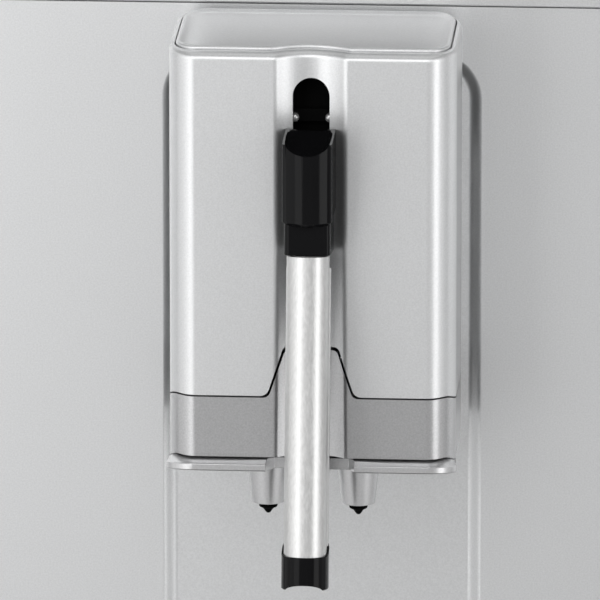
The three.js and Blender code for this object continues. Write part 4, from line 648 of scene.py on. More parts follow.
def rubber():
    return grained("foot_rubber_finish", (0.018, 0.018, 0.018), 0.78, size=0.0007, fleck=0.4, cloud=0.3,
                   spread=0.2, relief=0.4, dust=0.3)


def pale_floor():
    return grained("pale_floor_finish", (0.62, 0.62, 0.62), 0.6, size=0.01, fleck=0.01, cloud=0.02,
                   spread=0.1, relief=0)


# Outlines and cutters of the outlet head

def head_ring(z, side, front=None, shoulder=None):
    """The head's outline at a height, drawn in at the sides and rear, and by its own inset at the front."""
    size = sizes()
    front = side if front is None else front
    shoulder = size.flute_shoulder if shoulder is None else shoulder
    half = HEAD_HALF
    corner, deep = size.front_corner, size.front_corner_depth
    rear_u, rear_v = size.rear_corner, size.rear_corner_depth
    flute = (size.flute_width ** 2 / 4 + size.flute_depth ** 2) / (2 * size.flute_depth) - size.flute_shoulder
    flute_centre = size.flute_depth - flute
    radius = flute + front
    rise = front + shoulder - flute_centre
    reach = math.sqrt((radius + shoulder) ** 2 - rise ** 2)
    turn = math.degrees(math.atan2(rise, reach))
    outline = arc(-half + corner, deep, corner - side, deep - front, 180, 270, 20)
    outline += arc(-reach, front + shoulder, shoulder, shoulder, -90, -turn, 5)
    outline += arc(0, flute_centre, radius, radius, 180 - turn, turn, 22)[1:-1]
    outline += arc(reach, front + shoulder, shoulder, shoulder, turn - 180, -90, 5)
    outline += arc(half - corner, deep, corner - side, deep - front, -90, 0, 20)
    outline += arc(half - rear_u, HEAD_DEPTH - rear_v, rear_u - side, rear_v - side, 0, 90, 9)
    outline += arc(-half + rear_u, HEAD_DEPTH - rear_v, rear_u - side, rear_v - side, 90, 180, 9)
    return [Vector((x, HEAD_FRONT + y, z)) for x, y in outline]


def droop(y):
    """How far the seam lies below its middle at a place on the head's side."""
    start = sizes().shell_wall
    share = max(0, min(1, (y - HEAD_FRONT - start) / (CORNER_END - start)))
    return sizes().seam_droop * share * share * (3 - 2 * share)


def drooped(ring, share=1):
    return [Vector((point.x, point.y, point.z - share * droop(point.y))) for point in ring]


def cut_seam(body, seam, gap, upward):
    """Cuts a body off at the seam between the cover and its carriage, round the tongue in the flute."""
    past, clear = 0.06, 0.01  # the cutter's reach beyond the head's sides, and beyond its front and back
    top = seam + sizes().tongue_height + gap
    foot_half, top_half = 0.0123 + gap, 0.0075 + gap
    foot_bend, top_bend = 0.0022 + gap, 0.0016
    far = seam + 0.04 if upward else seam - 0.02
    path = [
        (-past, seam), (-foot_half, seam), (-top_half, top), (top_half, top), (foot_half, seam),
        (past, seam), (past, far), (-past, far),
    ]
    outline = rounded_path(path, [0, foot_bend, top_bend, top_bend, foot_bend, 0, 0, 0])
    wall, slices = sizes().shell_wall, 8
    places = [HEAD_FRONT - clear]
    places += [HEAD_FRONT + wall + (CORNER_END - wall) * step / slices for step in range(slices + 1)]
    front = lofted("seam_cutter", [drooped([Vector((x, y, z)) for x, z in outline]) for y in places])
    level = seam - sizes().seam_droop
    low, high = (level, far) if upward else (far, level)
    overlap = 0.0001
    rear = box("seam_rear_cutter", (-past, HEAD_FRONT + CORNER_END - overlap, low),
               (past, COVER_HIGH.y + clear, high))
    return cut(body, front, rear)


def slider_slot(front, back, travel=0):
    """Cutter for the slot that the slider stands or runs in."""
    half, fit = 0.0056, 0.0006
    return box("slot_cutter", (-half, front, SLIDER_LOW.z - travel - fit), (half, back, SLIDER_HIGH.z + fit))


# Outlines of the wand, on its own axes: its top at the collar, its foot down its own Z

def wand_frame():
    place = Matrix.Translation((0, HEAD_FRONT - WAND_REACH, HEAD_TOP - WAND_DROP))
    return place @ Matrix.Rotation(-sizes().wand_tilt, 4, "X")


def oval(half, deep, inset):
    return rounded(-half + inset, half - inset, -deep + inset, deep - inset, half - inset - 0.0002, 14)


def wand_ring(half, deep, inset, height):
    """An oval across the wand. Its height is a number, or a function of the depth."""
    put, level = wand_frame(), height if callable(height) else lambda y: height
    return [put @ Vector((x, y, level(y))) for x, y in oval(half, deep, inset)]


def along_wand(name, outline, start, end):
    """An outline across the wand, carried from one height on it to another."""
    put = wand_frame()
    return lofted(name, [[put @ Vector((x, y, z)) for x, y in outline] for z in (start, end)])


# One operator for each piece or group of like pieces

class COFFEE_OT_stage(bpy.types.Operator):
    """Adds the pale floor, the soft studio light and the camera"""
    bl_idname = "coffee_machine.stage"
    bl_label = "Floor, lights and camera"

    def execute(self, context):
        scene = context.scene
        bpy.ops.object.select_all(action="DESELECT")
        bpy.ops.mesh.primitive_plane_add(size=12, location=(0, 0, 0))
        floor = context.object
        floor.name = "studio_floor"
        floor.data.materials.append(pale_floor())
        bpy.ops.object.transform_apply(location=True, rotation=True, scale=True)

        # Place, the point it faces, width, height and power of each soft light
        lights = (
            ("left_near", (-0.397, -0.756, 0.45), (0, -0.12, 0.45), 0.32, 0.9, 1.77),
            ("left_band", (-0.618, -0.545, 0.45), (0, -0.12, 0.45), 0.33, 0.9, 0.96),
            ("left_side", (-0.748, -0.172, 0.45), (0, -0.12, 0.45), 0.5, 0.9, 1.05),
            ("right_band", (0.618, -0.545, 0.45), (0, -0.12, 0.45), 0.33, 0.9, 2.2),
            ("right_side", (0.748, -0.172, 0.45), (0, -0.12, 0.45), 0.5, 0.9, 0.5),
            ("front_low", (0, -1.7, 0.55), (0, -0.12, 0.24), 1.4, 0.5, 1.45),
            ("front", (0, -1.7, 1.47), (0, -0.12, 0.24), 1.6, 0.8, 11.2),
            ("top", (0, 0.3, 1.9), (0, 0, 0.3), 1.4, 1.2, 3),
            ("back", (0, 1.5, 1.0), (0, 0.1, 0.2), 2.0, 1.0, 8),
        )
        for name, place, facing, width, height, power in lights:
            bpy.ops.object.light_add(type="AREA")
            lamp = context.object
            lamp.name = lamp.data.name = name
            lamp.data.shape = "RECTANGLE"
            lamp.data.size, lamp.data.size_y = width, height
            lamp.data.energy = power
            lamp.visible_camera = False
            lamp.location = place
            lamp.rotation_euler = (Vector(facing) - Vector(place)).to_track_quat("-Z", "Y").to_euler()

        world = bpy.data.worlds.new("studio_air")
        world.use_nodes = True
        air = world.node_tree.nodes["Background"].inputs
        air["Color"].default_value = (0.36, 0.36, 0.36, 1)
        air["Strength"].default_value = 1
        scene.world = world
        scene.view_settings.view_transform = "Standard"

        # The photograph looks down by 15 degrees from 3.6 m away, a little from the machine's right
        turn, lift, distance = math.radians(3.6), math.radians(15), 3.6
        target = Vector((-0.00305, HEAD_FRONT, 0.2628))
        away = Vector((math.sin(turn) * math.cos(lift), -math.cos(turn) * math.cos(lift), math.sin(lift)))
        bpy.ops.object.camera_add()
        camera = context.object
        camera.name = "photo_camera"
        camera.location = target + away * distance
        camera.rotation_euler = (-away).to_track_quat("-Z", "Y").to_euler()
        camera.data.sensor_width = 36
        camera.data.lens = 744.8
        camera.data.clip_end = 30
        scene.camera = camera
        return {"FINISHED"}


class COFFEE_OT_front_panel(bpy.types.Operator):
    """Makes the silver panel with its soft slide channel"""
    bl_idname = "coffee_machine.front_panel"
    bl_label = "Front panel"

    def execute(self, context):
        front, back = PANEL_LOW.y, PANEL_HIGH.y
        low, high = PANEL_LOW.z, PANEL_HIGH.z
        half, corner, crown = 0.045, 0.0125, high - 0.0154  # the channel, at the middle of its soft wall
        wall, border, lap, foot = 0.0026, 0.003, 0.001, 0.03
        panel = box("panel_plate", (PANEL_LOW.x, front, low), (PANEL_HIGH.x, front + wall, high + 0.0002))
        wide = half + border
        rear = prism("panel_back", rounded(-wide, wide, low, crown + border, corner), "Y", front + lap, back)
        combine(rear, box("panel_back_foot", (-wide, front + lap, low), (wide, back, low + foot)))
        combine(panel, rear)
        # The cutter widens in soft steps from the channel's floor out to the face
        slope, sink = sizes().channel_slope, sizes().channel_sink
        steps = [(0.0, 1.0), (0.06, 0.995), (0.14, 0.965), (0.24, 0.89), (0.36, 0.76), (0.5, 0.56),
                 (0.62, 0.37), (0.74, 0.2), (0.85, 0.085), (0.94, 0.022), (1.0, 0.0), (1.08, -0.2)]
        rings = []
        for run, share in steps:
            grow = (run - 0.5) * slope
            outline = rounded(-half - grow, half + grow, low - foot, crown + grow, corner + grow, 12)
            rings.append([Vector((x, front + share * sink, z)) for x, z in outline])
        cut(panel, lofted("channel_cutter", rings))
        cut(panel, slider_slot(front, front + 0.02, HEAD_TRAVEL))
        panel.name = panel.data.name = "front_panel_shell"
        finished(soften(panel, SMALL_EDGE, 2, 40), "front_panel", silver_lacquer())
        return {"FINISHED"}


class COFFEE_OT_outlet_cover(bpy.types.Operator):
    """Makes the tall shell of the outlet head with its flute, rim and keyhole"""
    bl_idname = "coffee_machine.outlet_cover"
    bl_label = "Outlet cover"

    def execute(self, context):
        size = sizes()
        wall, foot = size.shell_wall, SEAM - 0.006
        roof, seat = 0.005, 0.002  # depth of the hollow's roof and of the lid's seat
        rings = [head_ring(HEAD_TOP - roof, wall), head_ring(foot, wall), head_ring(foot, 0)]
        # The rolled top edge runs further in at the front than at the sides
        drop, run_side, run_front = 0.0019, 0.0009, 0.0024
        for step in range(7):
            angle = math.radians(15 * step)
            roll = 1 - math.cos(angle)
            level = HEAD_TOP - drop + drop * math.sin(angle)
            rings.append(head_ring(level, run_side * roll, run_front * roll))
        for level in (HEAD_TOP, HEAD_TOP - seat):
            rings.append(head_ring(level, size.rim_side, size.rim_front))
        cover = lofted("outlet_cover_shell", rings)
        # Keyhole through the flute
        half, top, sill = 0.00535, HEAD_TOP - 0.0077, HEAD_TOP - 0.0457
        keyhole = [(half, sill)] + arc(0, top - half, half, half, 0, 180, 24) + [(-half, sill)]
        cut(cover, prism("keyhole_cutter", keyhole, "Y", HEAD_FRONT - 0.005, HEAD_FRONT + 0.012))
        cut_seam(cover, SEAM, size.seam_gap, False)
        cut(cover, slider_slot(COVER_HIGH.y - 0.006, COVER_HIGH.y + 0.002))
        finished(soften(cover, FINE_EDGE, 2, 50), "outlet_cover", silver_lacquer())
        return {"FINISHED"}


class COFFEE_OT_outlet_lid(bpy.types.Operator):
    """Makes the head's lid with its rolled border and dished top"""
    bl_idname = "coffee_machine.outlet_lid"
    bl_label = "Outlet lid"

    def execute(self, context):
        side = sizes().rim_side + sizes().lid_gap
        front = sizes().rim_front + sizes().lid_gap
        shoulder = 0.0035
        # Inset and height over the head's top, from the lid's foot over its border to the dished middle
        steps = [(0, -0.0017), (0, 0.0003), (0.0001, 0.0006), (0.0003, 0.00082), (0.0006, 0.00096),
                 (0.001, 0.001), (0.0014, 0.00092), (0.002, 0.00068), (0.0027, 0.00046), (0.0036, 0.00034),
                 (0.005, 0.0003)]
        lid = lofted("outlet_lid_plate", [
            head_ring(HEAD_TOP + height, side + inset, front + inset, shoulder) for inset, height in steps])
        finished(soften(lid, 0), "outlet_lid", silver_lacquer())
        return {"FINISHED"}


class COFFEE_OT_keyhole_pins(bpy.types.Operator):
    """Makes the two pins that show in the keyhole, and near-black sheets behind them that are painted shade
    inside the head
    """
    bl_idname = "coffee_machine.keyhole_pins"
    bl_label = "Keyhole pins and painted shade"

    def execute(self, context):
        low, high = PINS_LOW, PINS_HIGH
        apart, level = 0.0051, (low.z + high.z) / 2 - 0.0006
        profile = [(0.0003, 0), (0.0006, 0.00008), (0.0009, 0.00024), (0.0011, 0.00045), (0.00125, 0.0008),
                   (0.0013, 0.0012), (0.0013, 0.003)]
        pins = [turned("keyhole_pin", (side * apart, low.y, level), profile, "Y", 32) for side in (-1, 1)]
        finished(joined(*pins), "keyhole_pins", pin_silver())
        # Painted shade: the strip behind the pins is near-perfect black, for the dark inside of the head
        strip = box("keyhole_pins_strip", (low.x, low.y + 0.002, low.z), high)
        dressed(soften(strip, THIN_EDGE), "outlet_head", black_tips_and_painted_shade())
        # Painted shade: a near-black sheet behind the keyhole stands in for the shade inside the hollow head
        half, front, thick = 0.0095, high.y + 0.0006, 0.0012
        shade_sheet = box("keyhole_liner", (-half, front, SEAM + 0.03), (half, front + thick, HEAD_TOP - 0.0056))
        dressed(soften(shade_sheet, FINE_EDGE), "outlet_head", black_tips_and_painted_shade())
        return {"FINISHED"}


class COFFEE_OT_outlet_carriage(bpy.types.Operator):
    """Makes the darker lower block of the head with the tongue in the flute"""
    bl_idname = "coffee_machine.outlet_carriage"
    bl_label = "Outlet carriage"

    def execute(self, context):
        wall, low, edge = sizes().shell_wall, CARRIAGE_LOW.z, 0.0002
        high = SEAM + sizes().tongue_height + 0.002
        rings = [
            drooped(head_ring(low + wall, wall), LIP_DROOP), head_ring(high, wall), head_ring(high, 0),
            drooped(head_ring(low + edge, 0), LIP_DROOP), drooped(head_ring(low, edge), LIP_DROOP),
        ]
        carriage = lofted("outlet_carriage_block", rings)
        cut_seam(carriage, SEAM - sizes().seam_gap, 0, True)
        finished(soften(carriage, SMALL_EDGE, 3, 50), "outlet_carriage", dark_silver())
        return {"FINISHED"}


class COFFEE_OT_outlet_lip(bpy.types.Operator):
    """Makes the thin rim under the carriage, split at the flute"""
    bl_idname = "coffee_machine.outlet_lip"
    bl_label = "Outlet lip"

    def execute(self, context):
        size = sizes()
        low, high, edge = LIP_LOW.z - 0.0007, LIP_HIGH.z + 0.0001, 0.0003
        rear, rear_corner, rim_corner = HEAD_HALF - 0.0008, 0.005, 0.008
        # Half width, then the corner's width, place and depth: of the rim, and of its seat under the carriage
        rim = (LIP_HIGH.x, 0.0088, LIP_LOW.y + rim_corner, rim_corner)
        seat = (HEAD_HALF, size.front_corner, HEAD_FRONT + size.front_corner_depth, size.front_corner_depth)
        ramp = HEAD_FRONT + CORNER_END - LIP_LOW.y
        rings = []
        for z, inset, plan in ((low, edge, rim), (low + edge, 0, rim), (low + 0.0019, 0, rim),
                               (low + 0.0022, edge, rim), (high, 0, seat)):
            half, across, centre, deep = plan
            side = arc(half - across, centre, across - inset, deep - inset, -90, 0, 16)
            side += [(rear - inset, centre + 0.004)]
            turn = rear_corner - inset
            side += arc(rear - rear_corner, LIP_HIGH.y - rear_corner, turn, turn, 0, 90, 6)
            ring = [Vector((x, y, z)) for x, y in side + [(-x, y) for x, y in reversed(side)]]
            if plan == seat:
                ring = drooped(ring, LIP_DROOP)
            else:
                for point in ring:
                    share = max(0, min(1, (point.y - LIP_LOW.y) / ramp))
                    point.z -= LIP_DROOP * size.seam_droop * share
            rings.append(ring)
        lip = lofted("outlet_lip_rim", rings)
        # The split narrows to the back
        wide, narrow, clear = 0.0129, 0.0108, 0.002
        start, bend, end = LIP_LOW.y - clear, LIP_LOW.y + 0.0022, HEAD_FRONT + 0.005
        split = [(-wide, start), (wide, start), (wide, bend), (narrow, end), (-narrow, end), (-wide, bend)]
        cut(lip, prism("split_cutter", split, "Z", LIP_LOW.z - clear, LIP_HIGH.z + clear))
        finished(soften(lip, THIN_EDGE, 2, 50), "outlet_lip", bright_silver())
        return {"FINISHED"}


class COFFEE_OT_nozzles(bpy.types.Operator):
    """Turns the two coffee spouts and their black tips"""
    bl_idname = "coffee_machine.nozzles"
    bl_label = "Coffee spouts"

    def execute(self, context):
        bore, end, top, edge = 0.0024, 0.0049, 0.0065, 0.0004
        for word in ("left", "right"):
            low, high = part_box("nozzle_" + word)
            centre, tall = middle(low, high, z=low.z), high.z - low.z
            profile = [(bore, 0), (end - edge, 0), (end - edge / 4, edge / 4), (end, edge), (top, tall),
                       (bore, tall)]
            nozzle = turned("nozzle_" + word + "_spout", centre, profile, "Z", 56, True)
            finished(soften(nozzle, 0), "nozzle_" + word, bright_silver())

            low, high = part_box("nozzle_tip_" + word)
            centre.z, tall = low.z, high.z - low.z
            profile = [
                (0.0003, -0.0008), (0.0004, -0.001), (0.0006, -0.0009), (0.0009, -0.0005), (0.0013, 0.0001),
                (0.0018, 0.0006), (0.0023, 0.00085), (0.0026, 0.001), (0.0027, 0.0012), (0.0027, 0.0016),
                (0.0024, 0.0018), (0.0021, 0.0026), (0.0021, tall), (0.0003, tall),
            ]
            tip = turned("nozzle_tip_" + word + "_seal", centre, profile, "Z", 40, True)
            finished(soften(tip, 0), "nozzle_tip_" + word, black_tips_and_painted_shade())
        return {"FINISHED"}


class COFFEE_OT_frother_handle(bpy.types.Operator):
    """Makes the gloss black thumb handle with its scoop, key and collar"""
    bl_idname = "coffee_machine.frother_handle"
    bl_label = "Frother handle"

    def execute(self, context):
        half, front, back = 0.0072, HANDLE_LOW.y, HEAD_FRONT + 0.0016
        top, foot = HEAD_TOP - 0.0224, HEAD_TOP - 0.0468
        # Plan of the block: a slightly crowned face between rounded edges
        crown, edge, flat, steps = 0.0022, 0.0009, half - 0.0012, 24
        plan = arc(-half + edge, front + edge + crown, edge, edge, 180, 245, 5)
        for step in range(steps + 1):
            share = 2 * step / steps - 1
            plan.append((flat * share, front + crown * share ** 2))
        plan += arc(half - edge, front + edge + crown, edge, edge, 295, 360, 5)
        plan += [(half, back), (-half, back)]
        # The foot is drawn in at the sides and at the front
        rings = []
        for height, inset in ((top, 0), (foot + 0.0012, 0), (foot, 0.0011)):
            shrink = (half - inset) / half
            rings.append([
                Vector((x * shrink, y + (inset if y < HEAD_FRONT - 0.004 else 0), height)) for x, y in plan])
        handle = lofted("frother_handle_block", rings)
        # The scoop: run from the front, half width, and depth as a share of the full one
        rise = 0.0006
        trough = []
        for run, wide, share in ((-0.002, 0.0063, 1.02), (0.002, 0.0065, 1), (0.006, 0.0067, 0.93),
                                 (0.010, 0.0068, 0.8), (0.014, 0.0069, 0.6), (0.017, 0.0069, 0.4),
                                 (0.0195, 0.0069, 0.2), (0.024, 0.0069, 0.1)):
            half_oval = arc(0, top + rise, wide, sizes().scoop_depth * share + rise, 180, 360, 40)
            trough.append([Vector((x, front + run, z)) for x, z in half_oval])
        cut(handle, lofted("scoop", trough))
        soften(handle, SMALL_EDGE, 3, 40)
        # The neck through the keyhole and the key behind the wall, which pass under the pins
        thin, wide, thick, lap = 0.0048, 0.008, 0.003, 0.001
        neck_end, key_back = PINS_LOW.y - 0.0006, HANDLE_HIGH.y
        key_foot, key_top = HEAD_TOP - 0.044, HEAD_TOP - 0.0342
        neck = box("neck", (-thin, back - lap, key_foot), (thin, neck_end, top - 0.0024))
        combine(neck, box("stem", (-thin, neck_end - lap, key_foot), (thin, key_back - lap, key_top)))
        combine(neck, box("key", (-wide, key_back - thick, key_foot), (wide, key_back, key_top)))
        soften(neck, SMALL_EDGE)
        # The collar over the wand, cut square to it
        collar_half, collar_front = 0.0067, front + 0.003
        plan = rounded(-collar_half, collar_half, collar_front, back + 0.0002, 0.0016, 5)
        tilt, low = math.tan(sizes().wand_tilt), HEAD_TOP - 0.0556
        collar = lofted("collar", [
            [Vector((x, y, foot + 0.0004)) for x, y in plan],
            [Vector((x, y, low - tilt * (y - collar_front))) for x, y in plan],
        ])
        soften(collar, FINE_EDGE, 2, 40)
        finished(joined(handle, neck, collar), "frother_handle", gloss_black())
        return {"FINISHED"}


class COFFEE_OT_frother_sleeve(bpy.types.Operator):
    """Makes the brushed sleeve of the wand, its rear spine and a matt black bar behind it"""
    bl_idname = "coffee_machine.frother_sleeve"
    bl_label = "Frother sleeve"

    def execute(self, context):
        half, deep, wall, edge = 0.00615, 0.0075, 0.001, 0.0002
        end = -WAND_LENGTH
        steps = ((wall, 0), (edge, 0), (0, -edge), (0, end + edge), (edge, end), (wall, end))
        rings = [wand_ring(half, deep, inset, height) for inset, height in steps]
        sleeve = lofted("frother_sleeve_tube", rings, True)

        def fitted(name, outline, start, foot):
            """A bar down the back of the sleeve, hollowed where the sleeve is."""
            lap, clear = 0.0004, 0.001
            space = [wand_ring(half, deep, lap, height) for height in (clear, end - clear)]
            bar = cut(along_wand(name, outline, start, foot), lofted("sleeve_space", space))
            return soften(bar, THIN_EDGE, 2, 40)

        outline = rounded(-0.0065, 0.0065, 0.0014, 0.0052, 0.0012, 5)
        spine = fitted("spine", outline, -0.004, end + 0.003)
        finished(joined(soften(sleeve, 0), spine), "frother_sleeve", steel())
        # A matt black bar down the back of the wand, which shows dark in the flute beside the sleeve
        outline = rounded(-0.0056, 0.0056, 0.0048, 0.0102, 0.0016, 5)
        rear_bar = fitted("steam_duct", outline, -0.0015, end + 0.002)
        dressed(rear_bar, "frother", matt_black())
        refined("steam_tube", steel(), THIN_EDGE)
        return {"FINISHED"}


class COFFEE_OT_frother_cap(bpy.types.Operator):
    """Makes the black end cap of the wand with its slanted rim and shallow arch"""
    bl_idname = "coffee_machine.frother_cap"
    bl_label = "Frother cap"

    def execute(self, context):
        half, deep, wall, edge, brim = 0.00685, 0.008, 0.0016, 0.0003, 0.0006
        top, foot = -WAND_LENGTH - 0.0002, -WAND_LENGTH - 0.0091

        def rim(y):
            """The rim's height, which climbs steeply at the back."""
            return top + brim + 0.0085 * ((y + deep) / (2 * deep)) ** 2.8

        steps = ((brim, top - 0.0004), (brim, rim), (0.0002, lambda y: rim(y) + 0.0002), (0, rim),
                 (0, foot + edge), (edge, foot))
        cap = lofted("frother_cap_end", [wand_ring(half, deep, inset, height) for inset, height in steps])
        cut(cap, along_wand("cap_hollow", oval(half, deep, wall), foot - 0.002, top - 0.003))
        put = wand_frame()
        arch_half, arch_rise, clear = 0.0054, 0.0018, 0.012
        arch = [(arch_half, foot - 0.001)]
        arch += arc(0, foot - 0.0002, arch_half, arch_rise, 0, 180, 24)
        arch += [(-arch_half, foot - 0.001)]
        cut(cap, lofted("arch_cutter", [[put @ Vector((x, y, z)) for x, z in arch] for y in (-clear, clear)]))
        finished(soften(cap, 0.00015, 2, 50), "frother_cap", gloss_black())
        return {"FINISHED"}


class COFFEE_OT_slide(bpy.types.Operator):
    """Dresses the rail, the slider and the splitter behind and inside the head"""
    bl_idname = "coffee_machine.slide"
    bl_label = "Slide and splitter"

    def execute(self, context):
        refined("guide_rail", steel(), FINE_EDGE)
        refined("outlet_slider", grey_plastic())
        refined("coffee_splitter", matt_black(), SMALL_EDGE)
        return {"FINISHED"}


class COFFEE_OT_controls(bpy.types.Operator):
    """Makes the control fascia, its display, buttons and selector knob"""
    bl_idname = "coffee_machine.controls"
    bl_label = "Controls"

    def execute(self, context):
        refined("control_fascia", silver_lacquer(), BROAD_EDGE, 3)
        refined("display_lens", display_glass(), SMALL_EDGE, 3)
        for word in ("power", "steam", "strength"):
            low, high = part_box("button_" + word)
            deep, flange = high.y - low.y, 0.009
            profile = [(0.0045, 0.0004), (0.0058, 0.0001), (0.0064, 0), (0.0068, 0.0002), (0.007, 0.0006),
                       (0.007, deep - 0.0018), (flange, deep - 0.0017), (flange, deep)]
            button = turned("button_" + word + "_cap", middle(low, high, y=low.y), profile, "Y", 56)
            finished(soften(button, 0), "button_" + word, dark_silver())
        low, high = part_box("selector_knob")
        centre = middle(low, high, y=low.y)
        radius, deep, shaft = (high.x - low.x) / 2, 0.014, 0.003
        profile = [(0.0105, 0.0005), (radius - 0.0022, 0.0003), (radius - 0.0014, 0),
                   (radius - 0.0006, 0.0002), (radius - 0.0001, 0.0008), (radius, 0.0016),
                   (radius, deep - 0.0008), (radius - 0.0004, deep - 0.0003), (radius - 0.001, deep),
                   (shaft, deep), (shaft, high.y - low.y)]
        knob = turned("selector_knob_cap", centre, profile, "Y", 96)
        grooved(knob, centre, "Y", radius + 0.0002, 36, 0.0006, 0.0022, 0.0105)
        finished(soften(knob, 0), "selector_knob", steel())
        return {"FINISHED"}


class COFFEE_OT_covers(bpy.types.Operator):
    """Dresses the side, rear and top covers and the service door"""
    bl_idname = "coffee_machine.covers"
    bl_label = "Covers and door"

    def execute(self, context):
        for name in ("left_cover", "right_cover", "service_door"):
            refined(name, silver_lacquer(), segments=3)
        refined("rear_cover", matt_black(), PLAIN_EDGE)
        refined("top_cover", dark_silver(), BROAD_EDGE, 3)
        refined("cord_gland", matt_black(), SMALL_EDGE)
        refined("mains_switch", matt_black(), PLAIN_EDGE, 3)
        return {"FINISHED"}


class COFFEE_OT_base(bpy.types.Operator):
    """Makes the four rubber feet and dresses the base frame"""
    bl_idname = "coffee_machine.base"
    bl_label = "Base and feet"

    def execute(self, context):
        refined("base_frame", matt_black())
        for word in ("front_left", "front_right", "rear_left", "rear_right"):
            low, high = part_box("foot_" + word)
            radius, tall = (high.x - low.x) / 2, high.z - low.z
            profile = [(radius - 0.0052, 0.0005), (radius - 0.0046, 0), (radius - 0.0014, 0),
                       (radius - 0.0009, 0.0003), (radius, 0.0022), (radius, 0.0042),
                       (radius - 0.0006, 0.0048), (radius - 0.0006, tall)]
            foot = turned("foot_" + word + "_pad", middle(low, high, z=0), profile, "Z", 56)
            finished(soften(foot, 0), "foot_" + word, rubber())
        return {"FINISHED"}


class COFFEE_OT_beans(bpy.types.Operator):
    """Dresses the bean container, its lid and the grind dial"""
    bl_idname = "coffee_machine.beans"
    bl_label = "Beans and grind dial"

    def execute(self, context):
        refined("bean_container", smoked_plastic(), PLAIN_EDGE)
        refined("bean_lid", gloss_black(), LID_EDGE, 3)
        low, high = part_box("grind_dial")
        centre = middle(low, high, z=low.z)
        radius, tall, shaft = (high.x - low.x) / 2, high.z - low.z, 0.0035
        rim = tall - 0.0042
        profile = [(shaft, 0), (shaft, rim), (radius - 0.0004, rim), (radius, rim + 0.0005),
                   (radius, tall - 0.0009), (radius - 0.0003, tall - 0.0003), (radius - 0.001, tall),
                   (radius - 0.003, tall), (radius - 0.0042, tall - 0.0005), (0.004, tall - 0.0007)]
        dial = turned("grind_dial_cap", centre, profile, "Z", 96)
        grooved(dial, centre, "Z", radius + 0.0003, 30, 0.0008, rim + 0.0002, 0.0029)
        half = 0.0006
        pointer = box("pointer", (centre.x - half, centre.y - radius + 0.0015, high.z - 0.0003),
                      (centre.x + half, centre.y - 0.006, high.z + 0.0005))
        cut(dial, pointer)
        finished(soften(dial, 0), "grind_dial", gloss_black())
        return {"FINISHED"}


class COFFEE_OT_grinder(bpy.types.Operator):
    """Dresses the grinder, its burrs and its motor"""
    bl_idname = "coffee_machine.grinder"
    bl_label = "Grinder"

    def execute(self, context):
        refined("grinder_housing", matt_black(), PLAIN_EDGE)
        for name in ("lower_burr", "upper_burr"):
            refined(name, ceramic(), FINE_EDGE)
        refined("grinder_motor", steel())
        return {"FINISHED"}


class COFFEE_OT_brew_unit(bpy.types.Operator):
    """Dresses the brew unit"""
    bl_idname = "coffee_machine.brew_unit"
    bl_label = "Brew unit"

    def execute(self, context):
        refined("brew_frame", matt_black())
        for name in ("brew_chamber", "brew_piston"):
            refined(name, white_plastic(), PLAIN_EDGE)
        refined("brew_spindle", steel(), FINE_EDGE)
        refined("brew_motor", steel())
        return {"FINISHED"}


class COFFEE_OT_water(bpy.types.Operator):
    """Dresses the water tank, its lid, the pump, the heater and the hoses"""
    bl_idname = "coffee_machine.water"
    bl_label = "Water parts"

    def execute(self, context):
        refined("water_tank", smoked_plastic(), PLAIN_EDGE)
        refined("tank_lid", gloss_black(), LID_EDGE, 3)
        for name in ("water_pump", "water_heater"):
            refined(name, cast_aluminium())
        for name in ("steam_hose", "coffee_hose"):
            refined(name, white_plastic(), 0)
        return {"FINISHED"}


class COFFEE_OT_inner_works(bpy.types.Operator):
    """Dresses the inner chassis and the power board"""
    bl_idname = "coffee_machine.inner_works"
    bl_label = "Chassis and board"

    def execute(self, context):
        refined("inner_chassis", grey_plastic(), PLAIN_EDGE)
        refined("power_board", circuit_green(), FINE_EDGE)
        return {"FINISHED"}


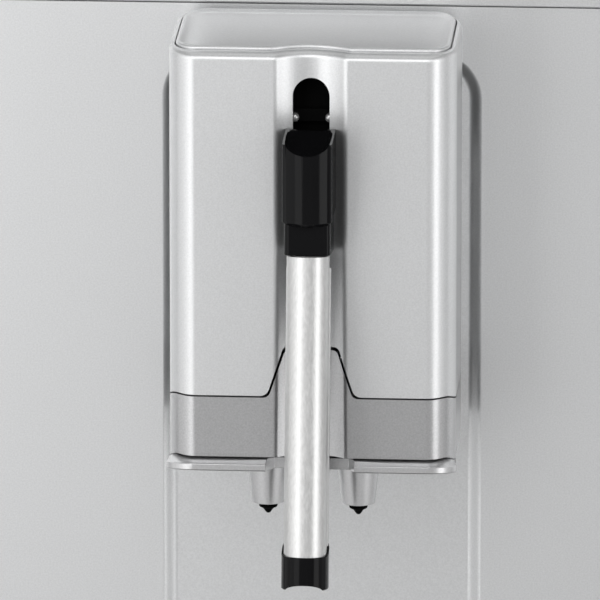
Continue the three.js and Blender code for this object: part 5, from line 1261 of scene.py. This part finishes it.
class COFFEE_OT_drawer(bpy.types.Operator):
    """Dresses the drip tray, its grid, the float and the grounds container"""
    bl_idname = "coffee_machine.drawer"
    bl_label = "Drip tray"

    def execute(self, context):
        for name in ("drip_tray", "rear_carrier"):
            refined(name, matt_black())
        refined("drip_grid", steel(), PLAIN_EDGE)
        refined("tray_float", float_red(), SMALL_EDGE)
        refined("grounds_container", grey_plastic(), PLAIN_EDGE)
        return {"FINISHED"}


OPERATORS = (
    COFFEE_OT_stage,
    COFFEE_OT_front_panel,
    COFFEE_OT_outlet_cover,
    COFFEE_OT_outlet_lid,
    COFFEE_OT_keyhole_pins,
    COFFEE_OT_outlet_carriage,
    COFFEE_OT_outlet_lip,
    COFFEE_OT_nozzles,
    COFFEE_OT_frother_handle,
    COFFEE_OT_frother_sleeve,
    COFFEE_OT_frother_cap,
    COFFEE_OT_slide,
    COFFEE_OT_controls,
    COFFEE_OT_covers,
    COFFEE_OT_base,
    COFFEE_OT_beans,
    COFFEE_OT_grinder,
    COFFEE_OT_brew_unit,
    COFFEE_OT_water,
    COFFEE_OT_inner_works,
    COFFEE_OT_drawer,
)


class COFFEE_PT_machine(bpy.types.Panel):
    """Lists the machine's pieces, sizes and finishes"""
    bl_idname = "COFFEE_PT_machine"
    bl_label = "Coffee machine"
    bl_space_type = "VIEW_3D"
    bl_region_type = "UI"
    bl_category = "Coffee machine"

    def draw(self, context):
        layout = self.layout
        for kind in OPERATORS:
            layout.operator(kind.bl_idname, text=kind.bl_label)
        for title, group in (("Sizes", sizes()), ("Finishes", finishes())):
            part = layout.box()
            part.label(text=title)
            for name in group.__annotations__:
                part.prop(group, name)


def register():
    for kind in (MachineSizes, MachineFinishes, *OPERATORS, COFFEE_PT_machine):
        bpy.utils.register_class(kind)
    bpy.types.Scene.coffee_machine_sizes = bpy.props.PointerProperty(type=MachineSizes)
    bpy.types.Scene.coffee_machine_finishes = bpy.props.PointerProperty(type=MachineFinishes)


def unregister():
    del bpy.types.Scene.coffee_machine_finishes
    del bpy.types.Scene.coffee_machine_sizes
    for kind in reversed((MachineSizes, MachineFinishes, *OPERATORS, COFFEE_PT_machine)):
        bpy.utils.unregister_class(kind)


def main():
    register()
    for kind in OPERATORS:
        group, name = kind.bl_idname.split(".")
        getattr(getattr(bpy.ops, group), name)()


if __name__ == "__main__":
    main()
